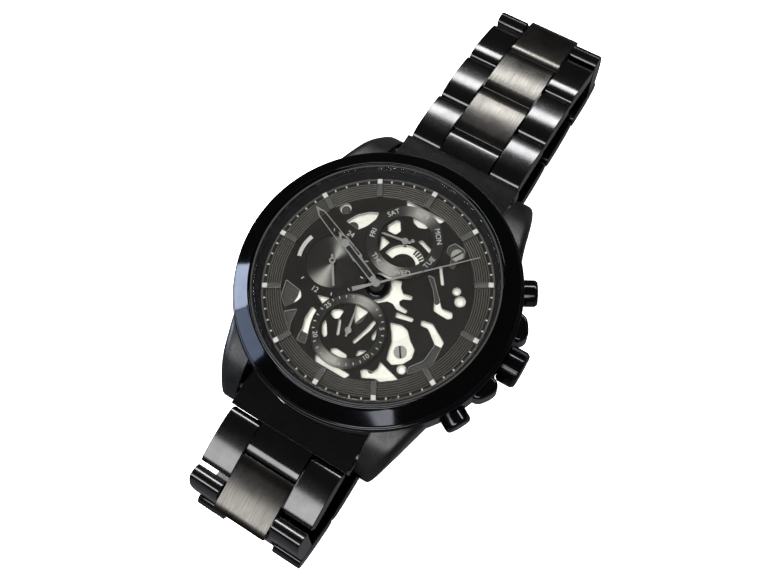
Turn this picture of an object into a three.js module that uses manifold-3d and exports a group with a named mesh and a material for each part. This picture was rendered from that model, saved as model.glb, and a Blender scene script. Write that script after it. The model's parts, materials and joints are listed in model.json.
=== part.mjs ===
// A quartz multifunction wristwatch with an open-worked dial, on a three-row steel bracelet.
// Millimetres. +X points to 3 o'clock, +Y to 12 o'clock, +Z out of the dial.
// The origin lies on the axis of the hands, on the flat underside of the clasp cover.
import * as THREE from 'three';
import { mergeVertices } from 'three/addons/utils/BufferGeometryUtils.js';
import Module from 'manifold-3d';

const wasm = await Module();
wasm.setup();

// ---------- driving dimensions ----------
// Heights named *_Z are measured from the face of the dial plate.
const DIAL_Z = 22.0;                 // face of the dial plate above the underside of the clasp

const CASE_R = 21.5;                 // case middle, outside
const CASE_BORE_R = 18.4;            // case middle, inside
const CASE_TOP_Z = 0.85;
const CASE_FOOT_Z = -5.6;
const BEZEL_R = 21.2;
const BEZEL_TOP_Z = 3.2;
const GLASS_R = 17.95;
const GLASS_FOOT_Z = 1.85;
const GLASS_TOP_Z = 3.35;
const BACK_R = 20.2;
const BACK_Z = -6.9;                 // outer face of the case back
const DIAL_R = 17.9;
const DIAL_THICK = 0.45;
const TRACK_R = 17.3;                // outer edge of the minute track

const LUG_INNER_X = 10.35;           // inner face of each lug
const LUG_TIP_Y = 24.7;
const SPRING_BAR_Y = 22.3;
const SPRING_BAR_Z = -4.9;
const SPRING_BAR_R = 0.45;

const STEM_Z = -2.6;                 // axis of the crown and its stem
const CROWN_R = 2.85;
const CROWN_X = 21.3;                // inner end of the crown
const CROWN_LENGTH = 3.0;
const FLUTES = 18;
const PUSHER_ANGLE = (29 * Math.PI) / 180; // 2 and 4 o'clock
const PUSHER_Z = -2.3;
const PUSHER_CAP_R = 2.0;
const PUSHER_SEAT_X = 20.0;          // bottom of the seat the cap sinks into
const PUSHER_NECK_R = 0.8;

const DAY_Y = 8.0;                   // centre of the day dial
const DATE_Y = -7.9;                 // centre of the date dial
const HOURS_24_X = -7.8;             // centre of the 24-hour dial
const DIAL_SCREWS = [[7.7, 10.2], [8.0, -6.7]];
const RING_INNER_R = 4.1;
const DAY_RING_R = 5.8;
const DATE_RING_R = 5.7;

const HOUR_HAND_ANGLE = 294.4;       // clockwise from 12, in degrees: about 9:49
const MINUTE_HAND_ANGLE = 292.5;
const SECONDS_HAND_ANGLE = 45.5;
const DAY_HAND_ANGLE = 261.0;
const DATE_HAND_ANGLE = 348.0;
const HOURS_24_HAND_ANGLE = 145.0;

const SECONDS_ARBOR_R = 0.24;
const CENTRE_TUBE_R = [0.29, 0.37];  // inside and outside of each nested tube
const CANNON_TUBE_R = [0.42, 0.54];
const HOUR_TUBE_R = [0.6, 0.8];

const LINK_PITCH = 9.3;
const LINK_THICK = 3.0;
const LINK_FIRST_WIDTH = 19.4;
const LINK_TAPER = 0.17;             // each row is narrower than the one before by this much
const TONGUE_HALF = 4.4;             // half the width of the centre link
const SLOT_HALF = 4.52;              // half the slot between the outer links
const LINK_HEEL = 2.3;               // outer link beyond its own pin
const LINK_TOE = 2.35;               // centre link beyond the next pin
const LINK_GAP = 0.18;
const LINK_PIN_R = 0.6;
const LINK_EYE_R = 0.72;
const FIRST_PIN_Y = 27.6;            // pin between the end link and the first row
const FIRST_PIN_Z = -5.0;

const degrees = Math.PI / 180;

// ---------- from geometry to solids and back ----------
function solidOf(geometry) {
  const bare = geometry.clone();
  bare.deleteAttribute('normal');
  bare.deleteAttribute('uv');
  const merged = mergeVertices(bare, 1e-5);
  const vertProperties = new Float32Array(merged.attributes.position.array);
  const triVerts = new Uint32Array(merged.index.array);
  return new wasm.Manifold(new wasm.Mesh({ numProp: 3, vertProperties, triVerts }));
}

function geometryOf(solid) {
  const { vertProperties, triVerts } = solid.getMesh();
  const geometry = new THREE.BufferGeometry();
  geometry.setAttribute('position', new THREE.BufferAttribute(vertProperties, 3));
  geometry.setIndex(new THREE.BufferAttribute(triVerts, 1));
  return geometry;
}

function joined(...solids) {
  return solids.reduce((sum, next) => sum.add(next));
}

function cut(solid, ...tools) {
  return tools.reduce((rest, tool) => rest.subtract(tool), solid);
}

// ---------- simple solids ----------
// A round bar along Z.
function bar(radius, z0, z1, segments = 32, x = 0, y = 0) {
  const geometry = new THREE.CylinderGeometry(radius, radius, z1 - z0, segments);
  geometry.rotateX(Math.PI / 2);
  geometry.translate(x, y, (z0 + z1) / 2);
  return solidOf(geometry);
}

// A round bar along X.
function barAlongX(radius, x0, x1, segments = 16, y = 0, z = 0) {
  const geometry = new THREE.CylinderGeometry(radius, radius, x1 - x0, segments);
  geometry.rotateZ(Math.PI / 2);
  geometry.translate((x0 + x1) / 2, y, z);
  return solidOf(geometry);
}

function block(x0, x1, y0, y1, z0, z1) {
  const geometry = new THREE.BoxGeometry(x1 - x0, y1 - y0, z1 - z0);
  geometry.translate((x0 + x1) / 2, (y0 + y1) / 2, (z0 + z1) / 2);
  return solidOf(geometry);
}

// A turned piece about Z. The profile is a closed loop of [radius, height], counter-clockwise.
function turned(profile, segments = 72) {
  const loop = [...profile, profile[0]].map(([radius, z]) => new THREE.Vector2(radius, z));
  const geometry = new THREE.LatheGeometry(loop, segments);
  geometry.rotateX(Math.PI / 2);
  return solidOf(geometry);
}

function ring(innerR, outerR, z0, z1, segments = 48, x = 0, y = 0) {
  const profile = [[innerR, z0], [outerR, z0], [outerR, z1], [innerR, z1]];
  return turned(profile, segments).translate([x, y, 0]);
}

function slab(shape, z0, z1, curveSegments = 6) {
  const options = { depth: z1 - z0, bevelEnabled: false, curveSegments };
  const geometry = new THREE.ExtrudeGeometry(shape, options);
  geometry.translate(0, 0, z0);
  return solidOf(geometry);
}

// A slab drawn in the Y-Z plane and extruded along X.
function slabAlongX(shape, x0, x1, curveSegments = 6) {
  const options = { depth: x1 - x0, bevelEnabled: false, curveSegments };
  const geometry = new THREE.ExtrudeGeometry(shape, options);
  geometry.rotateY(Math.PI / 2);
  geometry.rotateX(Math.PI / 2);
  geometry.translate(x0, 0, 0);
  return solidOf(geometry);
}

function polygon(points) {
  return new THREE.Shape(points.map(([x, y]) => new THREE.Vector2(x, y)));
}

// A closed outline through the points with every corner rounded by a short curve.
function softened(points, share = 0.35) {
  const shape = new THREE.Shape();
  const count = points.length;
  const between = (a, b, t) => [a[0] + (b[0] - a[0]) * t, a[1] + (b[1] - a[1]) * t];
  for (let i = 0; i < count; i += 1) {
    const corner = points[i];
    const before = between(corner, points[(i + count - 1) % count], share);
    const after = between(corner, points[(i + 1) % count], share);
    if (i === 0) {
      shape.moveTo(...before);
    } else {
      shape.lineTo(...before);
    }
    shape.quadraticCurveTo(...corner, ...after);
  }
  shape.closePath();
  return shape;
}

// ---------- toothed wheels ----------
const TOOTH_TIP = 0.13;              // half widths, as shares of the tooth pitch
const TOOTH_ROOT = 0.25;

// A tooth is centred on the angle phase.
function toothed(teeth, module, z0, z1, phase = 0) {
  const pitchR = (teeth * module) / 2;
  const tipR = pitchR + 0.7 * module;
  const rootR = pitchR - 1.05 * module;
  const points = [];
  for (let i = 0; i < teeth; i += 1) {
    const steps = [[-TOOTH_ROOT, rootR], [-TOOTH_TIP, tipR], [TOOTH_TIP, tipR], [TOOTH_ROOT, rootR]];
    for (const [share, radius] of steps) {
      const angle = phase + ((i + share) * 2 * Math.PI) / teeth;
      points.push([radius * Math.cos(angle), radius * Math.sin(angle)]);
    }
  }
  return slab(polygon(points), z0, z1);
}

// The phase that lets a wheel's gaps meet the teeth of its neighbour, which lies behind it
// along the direction from the neighbour to the wheel.
function meshingPhase(neighbourPhase, neighbourTeeth, direction, teeth) {
  const neighbourPitch = (2 * Math.PI) / neighbourTeeth;
  const lead = (neighbourPhase - direction) / neighbourPitch;
  return direction + Math.PI - (lead - 0.5) * ((2 * Math.PI) / teeth);
}

const MOTION_MODULE = 0.2;
const CANNON_TEETH = 8;
const MINUTE_WHEEL_TEETH = 24;
const MINUTE_PINION_TEETH = 6;
const HOUR_WHEEL_TEETH = 24;
const HOURS_24_WHEEL_TEETH = 48;
const MINUTE_WHEEL_D = ((MINUTE_PINION_TEETH + HOUR_WHEEL_TEETH) * MOTION_MODULE) / 2;
const CANNON_MODULE = (2 * MINUTE_WHEEL_D) / (CANNON_TEETH + MINUTE_WHEEL_TEETH);
const HOURS_24_D = ((MINUTE_PINION_TEETH + HOURS_24_WHEEL_TEETH) * MOTION_MODULE) / 2;
// The minute wheel stands where it reaches both the hour wheel and the 24-hour wheel.
const MINUTE_WHEEL_X = (HOURS_24_D ** 2 - MINUTE_WHEEL_D ** 2 - HOURS_24_X ** 2) / (-2 * HOURS_24_X);
const MINUTE_WHEEL_Y = Math.sqrt(MINUTE_WHEEL_D ** 2 - MINUTE_WHEEL_X ** 2);

const TRAIN_MODULE = 0.2;
const SECONDS_PINION_TEETH = 6;
const THIRD_WHEEL_TEETH = 45;
const THIRD_PINION_TEETH = 6;
const CENTRE_WHEEL_TEETH = 48;
const THIRD_D = ((THIRD_PINION_TEETH + CENTRE_WHEEL_TEETH) * TRAIN_MODULE) / 2;
const THIRD_MODULE = (2 * THIRD_D) / (SECONDS_PINION_TEETH + THIRD_WHEEL_TEETH);
const THIRD_ANGLE = 45 * degrees;
const SECONDS_WHEEL_TEETH = 30;
const STEP_PINION_TEETH = 6;
const STEP_WHEEL_TEETH = 30;
const ROTOR_PINION_TEETH = 5;
const STEP_MODULE = 0.18;
const STEP_D = ((SECONDS_WHEEL_TEETH + STEP_PINION_TEETH) * TRAIN_MODULE) / 2;
const STEP_ANGLE = -75 * degrees;
const ROTOR_D = ((STEP_WHEEL_TEETH + ROTOR_PINION_TEETH) * STEP_MODULE) / 2;
const ROTOR_ANGLE = -45 * degrees;
const STEP_X = STEP_D * Math.cos(STEP_ANGLE);
const STEP_Y = STEP_D * Math.sin(STEP_ANGLE);
const ROTOR_X = STEP_X + ROTOR_D * Math.cos(ROTOR_ANGLE);
const ROTOR_Y = STEP_Y + ROTOR_D * Math.sin(ROTOR_ANGLE);
const THIRD_X = THIRD_D * Math.cos(THIRD_ANGLE);
const THIRD_Y = THIRD_D * Math.sin(THIRD_ANGLE);

const BATTERY_X = -8.8;
const BATTERY_Y = 4.6;
const BATTERY_R = 4.75;
const MOVEMENT_R = 15.4;

// ---------- case ----------
// One lug, in the quarter with +X and +Y: a plan outline and a side outline crossed.
function lug() {
  const plan = softened([[LUG_INNER_X, 11], [16.9, 11], [15.6, 16.2], [13.9, 22.5], [12.8, LUG_TIP_Y],
    [LUG_INNER_X, LUG_TIP_Y]], 0.2);
  const side = softened([[9, -5.6], [16, -5.6], [21.5, -7.3], [24.2, -7.7], [LUG_TIP_Y, -6.4],
    [23.4, -3.6], [20.2, -0.9], [16.5, 0.45], [9, 0.45]], 0.25);
  return slab(plan, -9, 2, 2).intersect(slabAlongX(side, 0, 20, 2));
}

function crownGuard() {
  const plan = softened([[18.5, 3.1], [21.9, 3.1], [22.7, 4.2], [22.4, 5.4], [21.0, 7.3], [18.5, 7.3]], 0.25);
  return slab(plan, -4.9, -0.35, 2);
}

function everyCorner(solid) {
  const right = joined(solid, solid.mirror([0, 1, 0]));
  return joined(right, right.mirror([1, 0, 0]));
}

function caseMiddle() {
  const wall = turned([[CASE_BORE_R, CASE_FOOT_Z], [20.5, CASE_FOOT_Z], [CASE_R, -4.4],
    [CASE_R, 0.55], [CASE_R - 0.3, CASE_TOP_Z], [CASE_BORE_R, CASE_TOP_Z]], 48);
  const guards = joined(crownGuard(), crownGuard().mirror([0, 1, 0]));
  const bore = bar(CASE_BORE_R, -12, 6, 48);
  const backRoom = bar(BACK_R + 0.2, -12, CASE_FOOT_Z, 48);
  const barHole = barAlongX(SPRING_BAR_R + 0.12, -12.3, 12.3, 8, 0, SPRING_BAR_Z);
  const stemHole = barAlongX(0.95, 15, 26, 12, 0, STEM_Z);
  const crownSeat = barAlongX(CROWN_R + 0.15, CROWN_X - 0.4, 30, 24, 0, STEM_Z);
  const pusherHole = barAlongX(PUSHER_NECK_R + 0.12, 15, 26, 12, 0, PUSHER_Z);
  const pusherSeat = barAlongX(PUSHER_CAP_R + 0.15, PUSHER_SEAT_X, 30, 24, 0, PUSHER_Z);
  const solid = cut(joined(wall, everyCorner(lug()), guards), bore, backRoom, stemHole, crownSeat,
    barHole.translate([0, SPRING_BAR_Y, 0]), barHole.translate([0, -SPRING_BAR_Y, 0]));
  const turns = [PUSHER_ANGLE, -PUSHER_ANGLE].map((angle) => angle / degrees);
  const holes = turns.flatMap((turn) => [pusherHole.rotate([0, 0, turn]), pusherSeat.rotate([0, 0, turn])]);
  return cut(solid, ...holes);
}

function bezel() {
  return turned([[18.35, 0.9], [BEZEL_R, 0.9], [BEZEL_R, 1.45], [18.85, 3.1], [18.6, BEZEL_TOP_Z],
    [18.35, BEZEL_TOP_Z - 0.1]], 60);
}

function crystal() {
  return turned([[0, GLASS_FOOT_Z], [GLASS_R, GLASS_FOOT_Z], [GLASS_R, GLASS_TOP_Z - 0.3],
    [GLASS_R - 0.3, GLASS_TOP_Z], [0, GLASS_TOP_Z]], 48);
}

function crystalGasket() {
  return ring(GLASS_R + 0.06, 18.28, 1.88, 2.95, 48);
}

function rehautRing() {
  return turned([[TRACK_R + 0.05, 0.05], [18.3, 0.05], [18.3, 1.8], [17.8, 1.8]], 48);
}

function caseBack() {
  const top = CASE_FOOT_Z - 0.02;
  const plate = turned([[0, BACK_Z], [BACK_R - 0.6, BACK_Z], [BACK_R, BACK_Z + 0.5], [BACK_R, top],
    [0, top]], 48);
  const notch = block(17.6, 22, -1.1, 1.1, BACK_Z - 1, BACK_Z + 0.45);
  const notches = [0, 1, 2, 3, 4, 5].map((i) => notch.rotate([0, 0, 60 * i + 30]));
  return cut(plate, ...notches);
}

// ---------- dial ----------
// Openings of the dial plate, each outline in millimetres from the axis of the hands.
const OPENINGS = {
  splat: [[1.9, 2.1], [2.8, 2.4], [3.1, 1.6], [3.9, 0.9], [5.3, 1.2], [5.5, 0.7], [4.3, 0.2], [4.0, -0.4],
    [4.4, -0.9], [5.8, -1.0], [5.8, -1.5], [4.3, -1.6], [3.4, -1.1], [2.5, -1.2], [1.5, -2.1], [0.7, -2.15],
    [1.7, -1.3], [2.15, -0.1], [1.9, 1.0], [1.4, 1.7]],
  kidney: [[4.6, -3.8], [6.2, -3.3], [7.3, -3.5], [8.4, -4.6], [9.7, -5.5], [10, -6.8], [9.3, -8.1],
    [8, -9],
    [7, -8.7], [6.6, -7.5], [6.3, -6.1], [5.5, -4.9]],
  bracket: [[4.7, -2.3], [7.4, -1.6], [10, -0.9], [13, -2.6], [13, -6.4], [11, -8], [11.6, -9.2],
    [10.5, -9.3],
    [10.1, -8], [12.1, -6.1], [12.1, -3.3], [10, -2], [7.2, -2.4], [4.9, -3]],
  wedge: [[6.5, -9.6], [8.4, -9.3], [10, -10.5], [7.8, -12.1], [6.9, -12.1], [5.2, -12.9], [4.7, -12.1]],
  leaf: [[-9.5, 6.5], [-8.8, 7.8], [-7.8, 9.3], [-5.8, 10], [-5.9, 8.7], [-6.6, 7.1], [-7.2, 6.2]],
  shard: [[-6.5, -7.4], [-5.9, -7.8], [-5.7, -9.6], [-4.7, -11.3], [-5.9, -11.3], [-6.7, -9.6]],
  fin: [[-12.5, -5.8], [-9.8, -6.7], [-9.4, -7.8], [-10.3, -9.6]],
  sail: [[-8.6, -8.9], [-9.5, -10.2], [-7.5, -12]],
  nick: [[-6.9, -5.5], [-5.0, -5.2], [-5.4, -6.5]],
  topSlot: [[-3.2, 13.9], [3.4, 13.9], [3.0, 13.2], [-2.8, 13.2]],
  footSlot: [[-2.2, -13.3], [3.6, -13.3], [3.2, -14.1], [-1.8, -14.1]],
  lug: [[6.3, 12.3], [7.2, 11.6], [8.7, 11.1], [9, 10.1], [8.7, 7.7], [7.8, 7.7], [7.6, 9.1], [6.4, 9.4],
    [6, 10.6]],
};

// A strip that follows a circular arc about the hands' axis.
function arcStrip(radius, width, from, to) {
  const shape = new THREE.Shape();
  shape.absarc(0, 0, radius + width / 2, from * degrees, to * degrees, false);
  shape.absarc(0, 0, radius - width / 2, to * degrees, from * degrees, true);
  shape.closePath();
  return shape;
}

const PEEP_HOLES = [[10.6, 5.0, 0.45], [11.8, 4.0, 0.7], [-8.1, 6.3, 0.55], [-10.6, 8.5, 0.6]];
const ARC_SLOTS = [[9.75, 0.55, 22, 52], [11.4, 0.5, 3, 30], [1.75, 0.5, 78, 240]];

function dialPlate() {
  const plate = bar(DIAL_R, -DIAL_THICK, 0, 48);
  const tools = Object.values(OPENINGS).map((points) => slab(polygon(points), -2, 1));
  for (const [x, y, radius] of PEEP_HOLES) tools.push(bar(radius, -2, 1, 12, x, y));
  for (const slot of ARC_SLOTS) tools.push(slab(arcStrip(...slot), -2, 1, 5));
  tools.push(bar(1.0, -2, 1, 20));
  tools.push(bar(RING_INNER_R - 0.1, -2, 1, 24, 0, DAY_Y));
  tools.push(bar(RING_INNER_R - 0.1, -2, 1, 24, 0, DATE_Y));
  tools.push(bar(RING_INNER_R, -0.2, 1, 24, HOURS_24_X, 0));
  tools.push(bar(0.5, -2, 1, 12, HOURS_24_X, 0));
  return cut(plate, ...tools);
}

// The bright plate that shows through the openings, with holes for the arbors.
function openBridge() {
  const plate = bar(15.3, -1.25, -0.75, 32);
  const holes = [bar(1.0, -3, 0, 20)];
  for (const [x, y] of [[0, DAY_Y], [0, DATE_Y], [HOURS_24_X, 0]]) holes.push(bar(0.55, -3, 0, 12, x, y));
  for (const [x, y] of DIAL_SCREWS) holes.push(bar(0.5, -3, 0, 12, x, y));
  return cut(plate, ...holes);
}

function dialScrew() {
  const head = bar(0.95, -0.72, -0.42, 20);
  const slot = block(-1.2, 1.2, -0.13, 0.13, -0.56, 0);
  return joined(cut(head, slot), bar(0.4, -1.9, -0.72, 10));
}

function dayRing() {
  return turned([[RING_INNER_R, 0.03], [DAY_RING_R, 0.03], [DAY_RING_R, 0.2], [RING_INNER_R, 0.34]], 32);
}

function dateRing() {
  return turned([[RING_INNER_R, 0.03], [DATE_RING_R, 0.03], [DATE_RING_R, 0.3], [5.35, 0.66],
    [RING_INNER_R + 0.15, 0.5],
    [RING_INNER_R, 0.38]], 32);
}

// Twelve applied batons on the thin ring that carries them.
function hourMarkers() {
  const carrier = ring(16.95, TRACK_R - 0.02, 0.03, 0.12, 36);
  const baton = slab(polygon([[-0.47, 14.2], [0.47, 14.2], [0.47, 17.1], [-0.47, 17.1]]), 0.03, 0.6);
  let solid = carrier;
  for (let hour = 0; hour < 12; hour += 1) solid = solid.add(baton.rotate([0, 0, -30 * hour]));
  return solid;
}

// ---------- hands: each points to 12 before it is turned ----------
function hub(outerR, holeR, z0, z1) {
  return ring(holeR, outerR, z0, z1, 20);
}

// An open-worked sword: a narrow base, a wider frame and a pointed tip.
function swordHand(length, joint, baseHalf, frameHalf, hubR, holeR, z0, z1) {
  const point = length - 1.6;
  const outline = polygon([[-baseHalf, 0], [baseHalf, 0], [baseHalf, joint], [frameHalf, joint + 0.3],
    [frameHalf * 0.8, point], [0, length], [-frameHalf * 0.8, point], [-frameHalf, joint + 0.3],
    [-baseHalf, joint]]);
  const rim = 0.17;
  const baseSlot = block(-baseHalf + rim, baseHalf - rim, hubR + 0.4, joint - 0.5, z0 - 1, z1 + 1);
  const frameSlot = slab(polygon([[-frameHalf + rim, joint + 0.7], [frameHalf - rim, joint + 0.7],
    [frameHalf * 0.8 - rim, point], [0, point + 0.7], [-frameHalf * 0.8 + rim, point]]), z0 - 1, z1 + 1);
  const blade = cut(slab(outline, z0, z1), baseSlot, frameSlot);
  return cut(joined(blade, hub(hubR, holeR, z0, z1)), bar(holeR, z0 - 1, z1 + 1, 20));
}

function slimHand(length, tail, rootHalf, tipHalf, tailHalf, hubR, holeR, z0, z1) {
  const outline = polygon([[-tailHalf, -tail], [tailHalf, -tail], [rootHalf, -0.3], [rootHalf, 0.3],
    [tipHalf, length], [-tipHalf, length], [-rootHalf, 0.3], [-rootHalf, -0.3]]);
  const solid = joined(slab(outline, z0, z1), bar(hubR, z0, z1, 20));
  return holeR > 0 ? cut(solid, bar(holeR, z0 - 1, z1 + 1, 16)) : solid;
}

const hourHand = () => swordHand(10.3, 4.7, 0.55, 0.8, 1.15, HOUR_TUBE_R[1] + 0.02, 0.82, 0.97);
const minuteHand = () => swordHand(15.7, 7.7, 0.5, 0.75, 1.0, CANNON_TUBE_R[1] + 0.02, 1.12, 1.27);
const secondsHand = () => slimHand(15.6, 3.6, 0.16, 0.07, 0.36, 0.6, SECONDS_ARBOR_R + 0.02, 1.42, 1.54);
// The day and date hands keep the posts that carry them down to the main plate.
const post = () => bar(0.2, -2.6, 0.48, 12);
const dayHand = () => joined(slimHand(3.8, 1.0, 0.22, 0.07, 0.14, 0.5, 0, 0.42, 0.54), post());
const dateHand = () => joined(slimHand(3.8, 1.0, 0.2, 0.07, 0.14, 0.5, 0, 0.42, 0.54), post());
const hours24Hand = () => slimHand(4.0, 1.0, 0.2, 0.16, 0.16, 0.5, 0.22, 0.42, 0.54);

// ---------- motion work, between the open bridge and the main plate ----------
const MINUTE_WHEEL_ANGLE = Math.atan2(MINUTE_WHEEL_Y, MINUTE_WHEEL_X);
const CANNON_PHASE = 0;
const MINUTE_WHEEL_PHASE = meshingPhase(CANNON_PHASE, CANNON_TEETH, MINUTE_WHEEL_ANGLE, MINUTE_WHEEL_TEETH);
const MINUTE_PINION_PHASE = 0;
const HOUR_WHEEL_PHASE = meshingPhase(MINUTE_PINION_PHASE, MINUTE_PINION_TEETH,
  MINUTE_WHEEL_ANGLE + Math.PI, HOUR_WHEEL_TEETH);
const HOURS_24_ANGLE = Math.atan2(-MINUTE_WHEEL_Y, HOURS_24_X - MINUTE_WHEEL_X);
const HOURS_24_PHASE = meshingPhase(MINUTE_PINION_PHASE, MINUTE_PINION_TEETH,
  HOURS_24_ANGLE, HOURS_24_WHEEL_TEETH);

function cannonPinion() {
  const tube = ring(...CANNON_TUBE_R, -2.2, 1.24, 20);
  const pinion = toothed(CANNON_TEETH, CANNON_MODULE, -2.2, -1.9, CANNON_PHASE);
  return cut(joined(tube, pinion), bar(CANNON_TUBE_R[0], -3, 3, 20));
}

function minuteWheel() {
  return joined(toothed(MINUTE_WHEEL_TEETH, CANNON_MODULE, -2.2, -1.95, MINUTE_WHEEL_PHASE),
    toothed(MINUTE_PINION_TEETH, MOTION_MODULE, -1.95, -1.4, MINUTE_PINION_PHASE), bar(0.2, -2.6, -2.2, 12));
}

function hourWheel() {
  const wheel = toothed(HOUR_WHEEL_TEETH, MOTION_MODULE, -1.7, -1.45, HOUR_WHEEL_PHASE);
  return cut(joined(wheel, bar(HOUR_TUBE_R[1], -1.7, 0.94, 20)), bar(HOUR_TUBE_R[0], -3, 3, 20));
}

function hours24Wheel() {
  const wheel = toothed(HOURS_24_WHEEL_TEETH, MOTION_MODULE, -1.7, -1.45, HOURS_24_PHASE);
  return joined(wheel, bar(0.2, -2.6, 0.5, 12));
}

// ---------- movement, behind the dial ----------
const SECONDS_PINION_PHASE = 0;
const THIRD_WHEEL_PHASE = meshingPhase(SECONDS_PINION_PHASE, SECONDS_PINION_TEETH, THIRD_ANGLE,
  THIRD_WHEEL_TEETH);
const THIRD_PINION_PHASE = 0;
const CENTRE_WHEEL_PHASE = meshingPhase(THIRD_PINION_PHASE, THIRD_PINION_TEETH,
  THIRD_ANGLE + Math.PI, CENTRE_WHEEL_TEETH);
const SECONDS_WHEEL_PHASE = 0;
const STEP_PINION_PHASE = meshingPhase(SECONDS_WHEEL_PHASE, SECONDS_WHEEL_TEETH, STEP_ANGLE,
  STEP_PINION_TEETH);
const STEP_WHEEL_PHASE = 0;
const ROTOR_PINION_PHASE = meshingPhase(STEP_WHEEL_PHASE, STEP_WHEEL_TEETH, ROTOR_ANGLE,
  ROTOR_PINION_TEETH);

function mainPlate() {
  const plate = bar(MOVEMENT_R, -2.9, -2.35, 40);
  const holes = [bar(0.62, -4, 0, 20), block(9.5, 20, -0.9, 0.9, -4, 0)];
  const pivots = [[MINUTE_WHEEL_X, MINUTE_WHEEL_Y], [HOURS_24_X, 0], [0, DAY_Y], [0, DATE_Y],
    [THIRD_X, THIRD_Y], [ROTOR_X, ROTOR_Y]];
  for (const [x, y] of pivots) holes.push(bar(0.3, -4, 0, 12, x, y));
  for (const [x, y] of DIAL_SCREWS) holes.push(bar(0.5, -4, 0, 12, x, y));
  return cut(plate, ...holes);
}

function centreWheel() {
  const wheel = toothed(CENTRE_WHEEL_TEETH, TRAIN_MODULE, -3.35, -3.1, CENTRE_WHEEL_PHASE);
  return cut(joined(wheel, bar(CENTRE_TUBE_R[1], -3.35, -1.0, 20)), bar(CENTRE_TUBE_R[0], -4, 2, 20));
}

function thirdWheel() {
  return joined(toothed(THIRD_WHEEL_TEETH, THIRD_MODULE, -3.75, -3.5, THIRD_WHEEL_PHASE),
    toothed(THIRD_PINION_TEETH, TRAIN_MODULE, -3.5, -3.0, THIRD_PINION_PHASE),
    bar(0.2, -4.9, -3.75, 12), bar(0.2, -3.0, -2.4, 12));
}

function secondsWheel() {
  return joined(toothed(SECONDS_WHEEL_TEETH, TRAIN_MODULE, -4.2, -3.98, SECONDS_WHEEL_PHASE),
    toothed(SECONDS_PINION_TEETH, THIRD_MODULE, -3.98, -3.48, SECONDS_PINION_PHASE),
    bar(0.2, -4.9, -4.2, 12), bar(SECONDS_ARBOR_R, -3.48, 1.54, 16));
}

function stepWheel() {
  return joined(toothed(STEP_WHEEL_TEETH, STEP_MODULE, -4.6, -4.42, STEP_WHEEL_PHASE),
    toothed(STEP_PINION_TEETH, TRAIN_MODULE, -4.42, -3.95, STEP_PINION_PHASE),
    bar(0.15, -4.9, -4.6, 8), bar(0.15, -3.95, -3.5, 8));
}

function rotor() {
  return joined(toothed(ROTOR_PINION_TEETH, STEP_MODULE, -4.62, -4.36, ROTOR_PINION_PHASE),
    bar(1.05, -4.36, -3.7, 24), bar(0.15, -4.9, -4.62, 10), bar(0.15, -3.7, -2.4, 10));
}

function stator() {
  const yoke = block(1.5, 10.2, -7.3, -4.4, -4.25, -3.85);
  const foot = block(1.5, 2.7, -11.3, -7.2, -4.25, -3.85);
  const feet = joined(foot, foot.translate([7.5, 0, 0]));
  return cut(joined(yoke, feet), bar(1.2, -5, -3, 24, ROTOR_X, ROTOR_Y));
}

function coil() {
  const winding = barAlongX(0.7, 3.0, 8.7, 20, -10.6, -3.65);
  return joined(winding, block(1.5, 10.2, -11.3, -9.9, -3.8, -3.5));
}

function trainBridge() {
  const plate = bar(MOVEMENT_R, -4.98, -4.72, 40);
  const battery = bar(BATTERY_R + 0.4, -6, -4, 32, BATTERY_X, BATTERY_Y);
  const holes = [bar(0.3, -6, -4, 12)];
  for (const [x, y] of [[THIRD_X, THIRD_Y], [STEP_X, STEP_Y], [ROTOR_X, ROTOR_Y]]) {
    holes.push(bar(0.3, -6, -4, 12, x, y));
  }
  const feet = [[10.6, 9.2], [-4, -13], [-13.3, -4.5]].map(([x, y]) => bar(1.0, -4.75, -2.93, 16, x, y));
  return joined(cut(plate, battery, ...holes), ...feet);
}

function circuitBoard() {
  const half = bar(14.6, -5.28, -5.02, 40).intersect(block(-2.6, 20, -20, 20, -7, 0));
  return cut(half, block(9.5, 20, -1.2, 1.2, -7, 0));
}

function battery() {
  return turned([[0, -5.2], [3.9, -5.2], [3.9, -5.05], [BATTERY_R, -5.05], [BATTERY_R, -3.0],
    [0, -3.0]], 40)
    .translate([BATTERY_X, BATTERY_Y, 0]);
}

function movementHolder() {
  const body = ring(MOVEMENT_R + 0.15, 18.2, -5.5, -0.5, 40);
  const stemHole = barAlongX(0.9, 10, 20, 16, 0, STEM_Z);
  const pusherHole = barAlongX(1.0, 13, 20, 16, 0, PUSHER_Z);
  const turn = PUSHER_ANGLE / degrees;
  return cut(body, stemHole, pusherHole.rotate([0, 0, turn]), pusherHole.rotate([0, 0, -turn]));
}

// ---------- crown and pushers ----------
function crownStem() {
  const shaft = barAlongX(0.45, 10.2, CROWN_X + 1.1, 16, 0, STEM_Z);
  const collar = barAlongX(0.7, 12.0, 13.2, 16, 0, STEM_Z);
  return joined(shaft, collar);
}

function crown() {
  const cap = barAlongX(CROWN_R - 0.25, CROWN_X, CROWN_X + CROWN_LENGTH, FLUTES);
  const flutes = [];
  for (let i = 0; i < FLUTES; i += 1) {
    const ridge = block(CROWN_X + 0.5, CROWN_X + CROWN_LENGTH - 0.5, -0.28, 0.28, 1.5, CROWN_R);
    flutes.push(ridge.rotate([(360 / FLUTES) * i, 0, 0]));
  }
  const socket = barAlongX(0.52, CROWN_X - 1, CROWN_X + 1.2, 16);
  return cut(joined(cap, ...flutes), socket).translate([0, 0, STEM_Z]);
}

function pusher() {
  const inner = PUSHER_SEAT_X + 1.2;
  const cap = barAlongX(PUSHER_CAP_R, inner, 23.4, 24);
  const nose = barAlongX(PUSHER_CAP_R - 0.3, 23.3, 23.6, 24);
  const neck = barAlongX(PUSHER_NECK_R, 16.9, inner + 0.1, 16);
  return joined(cap, nose, neck).translate([0, 0, PUSHER_Z]);
}

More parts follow.
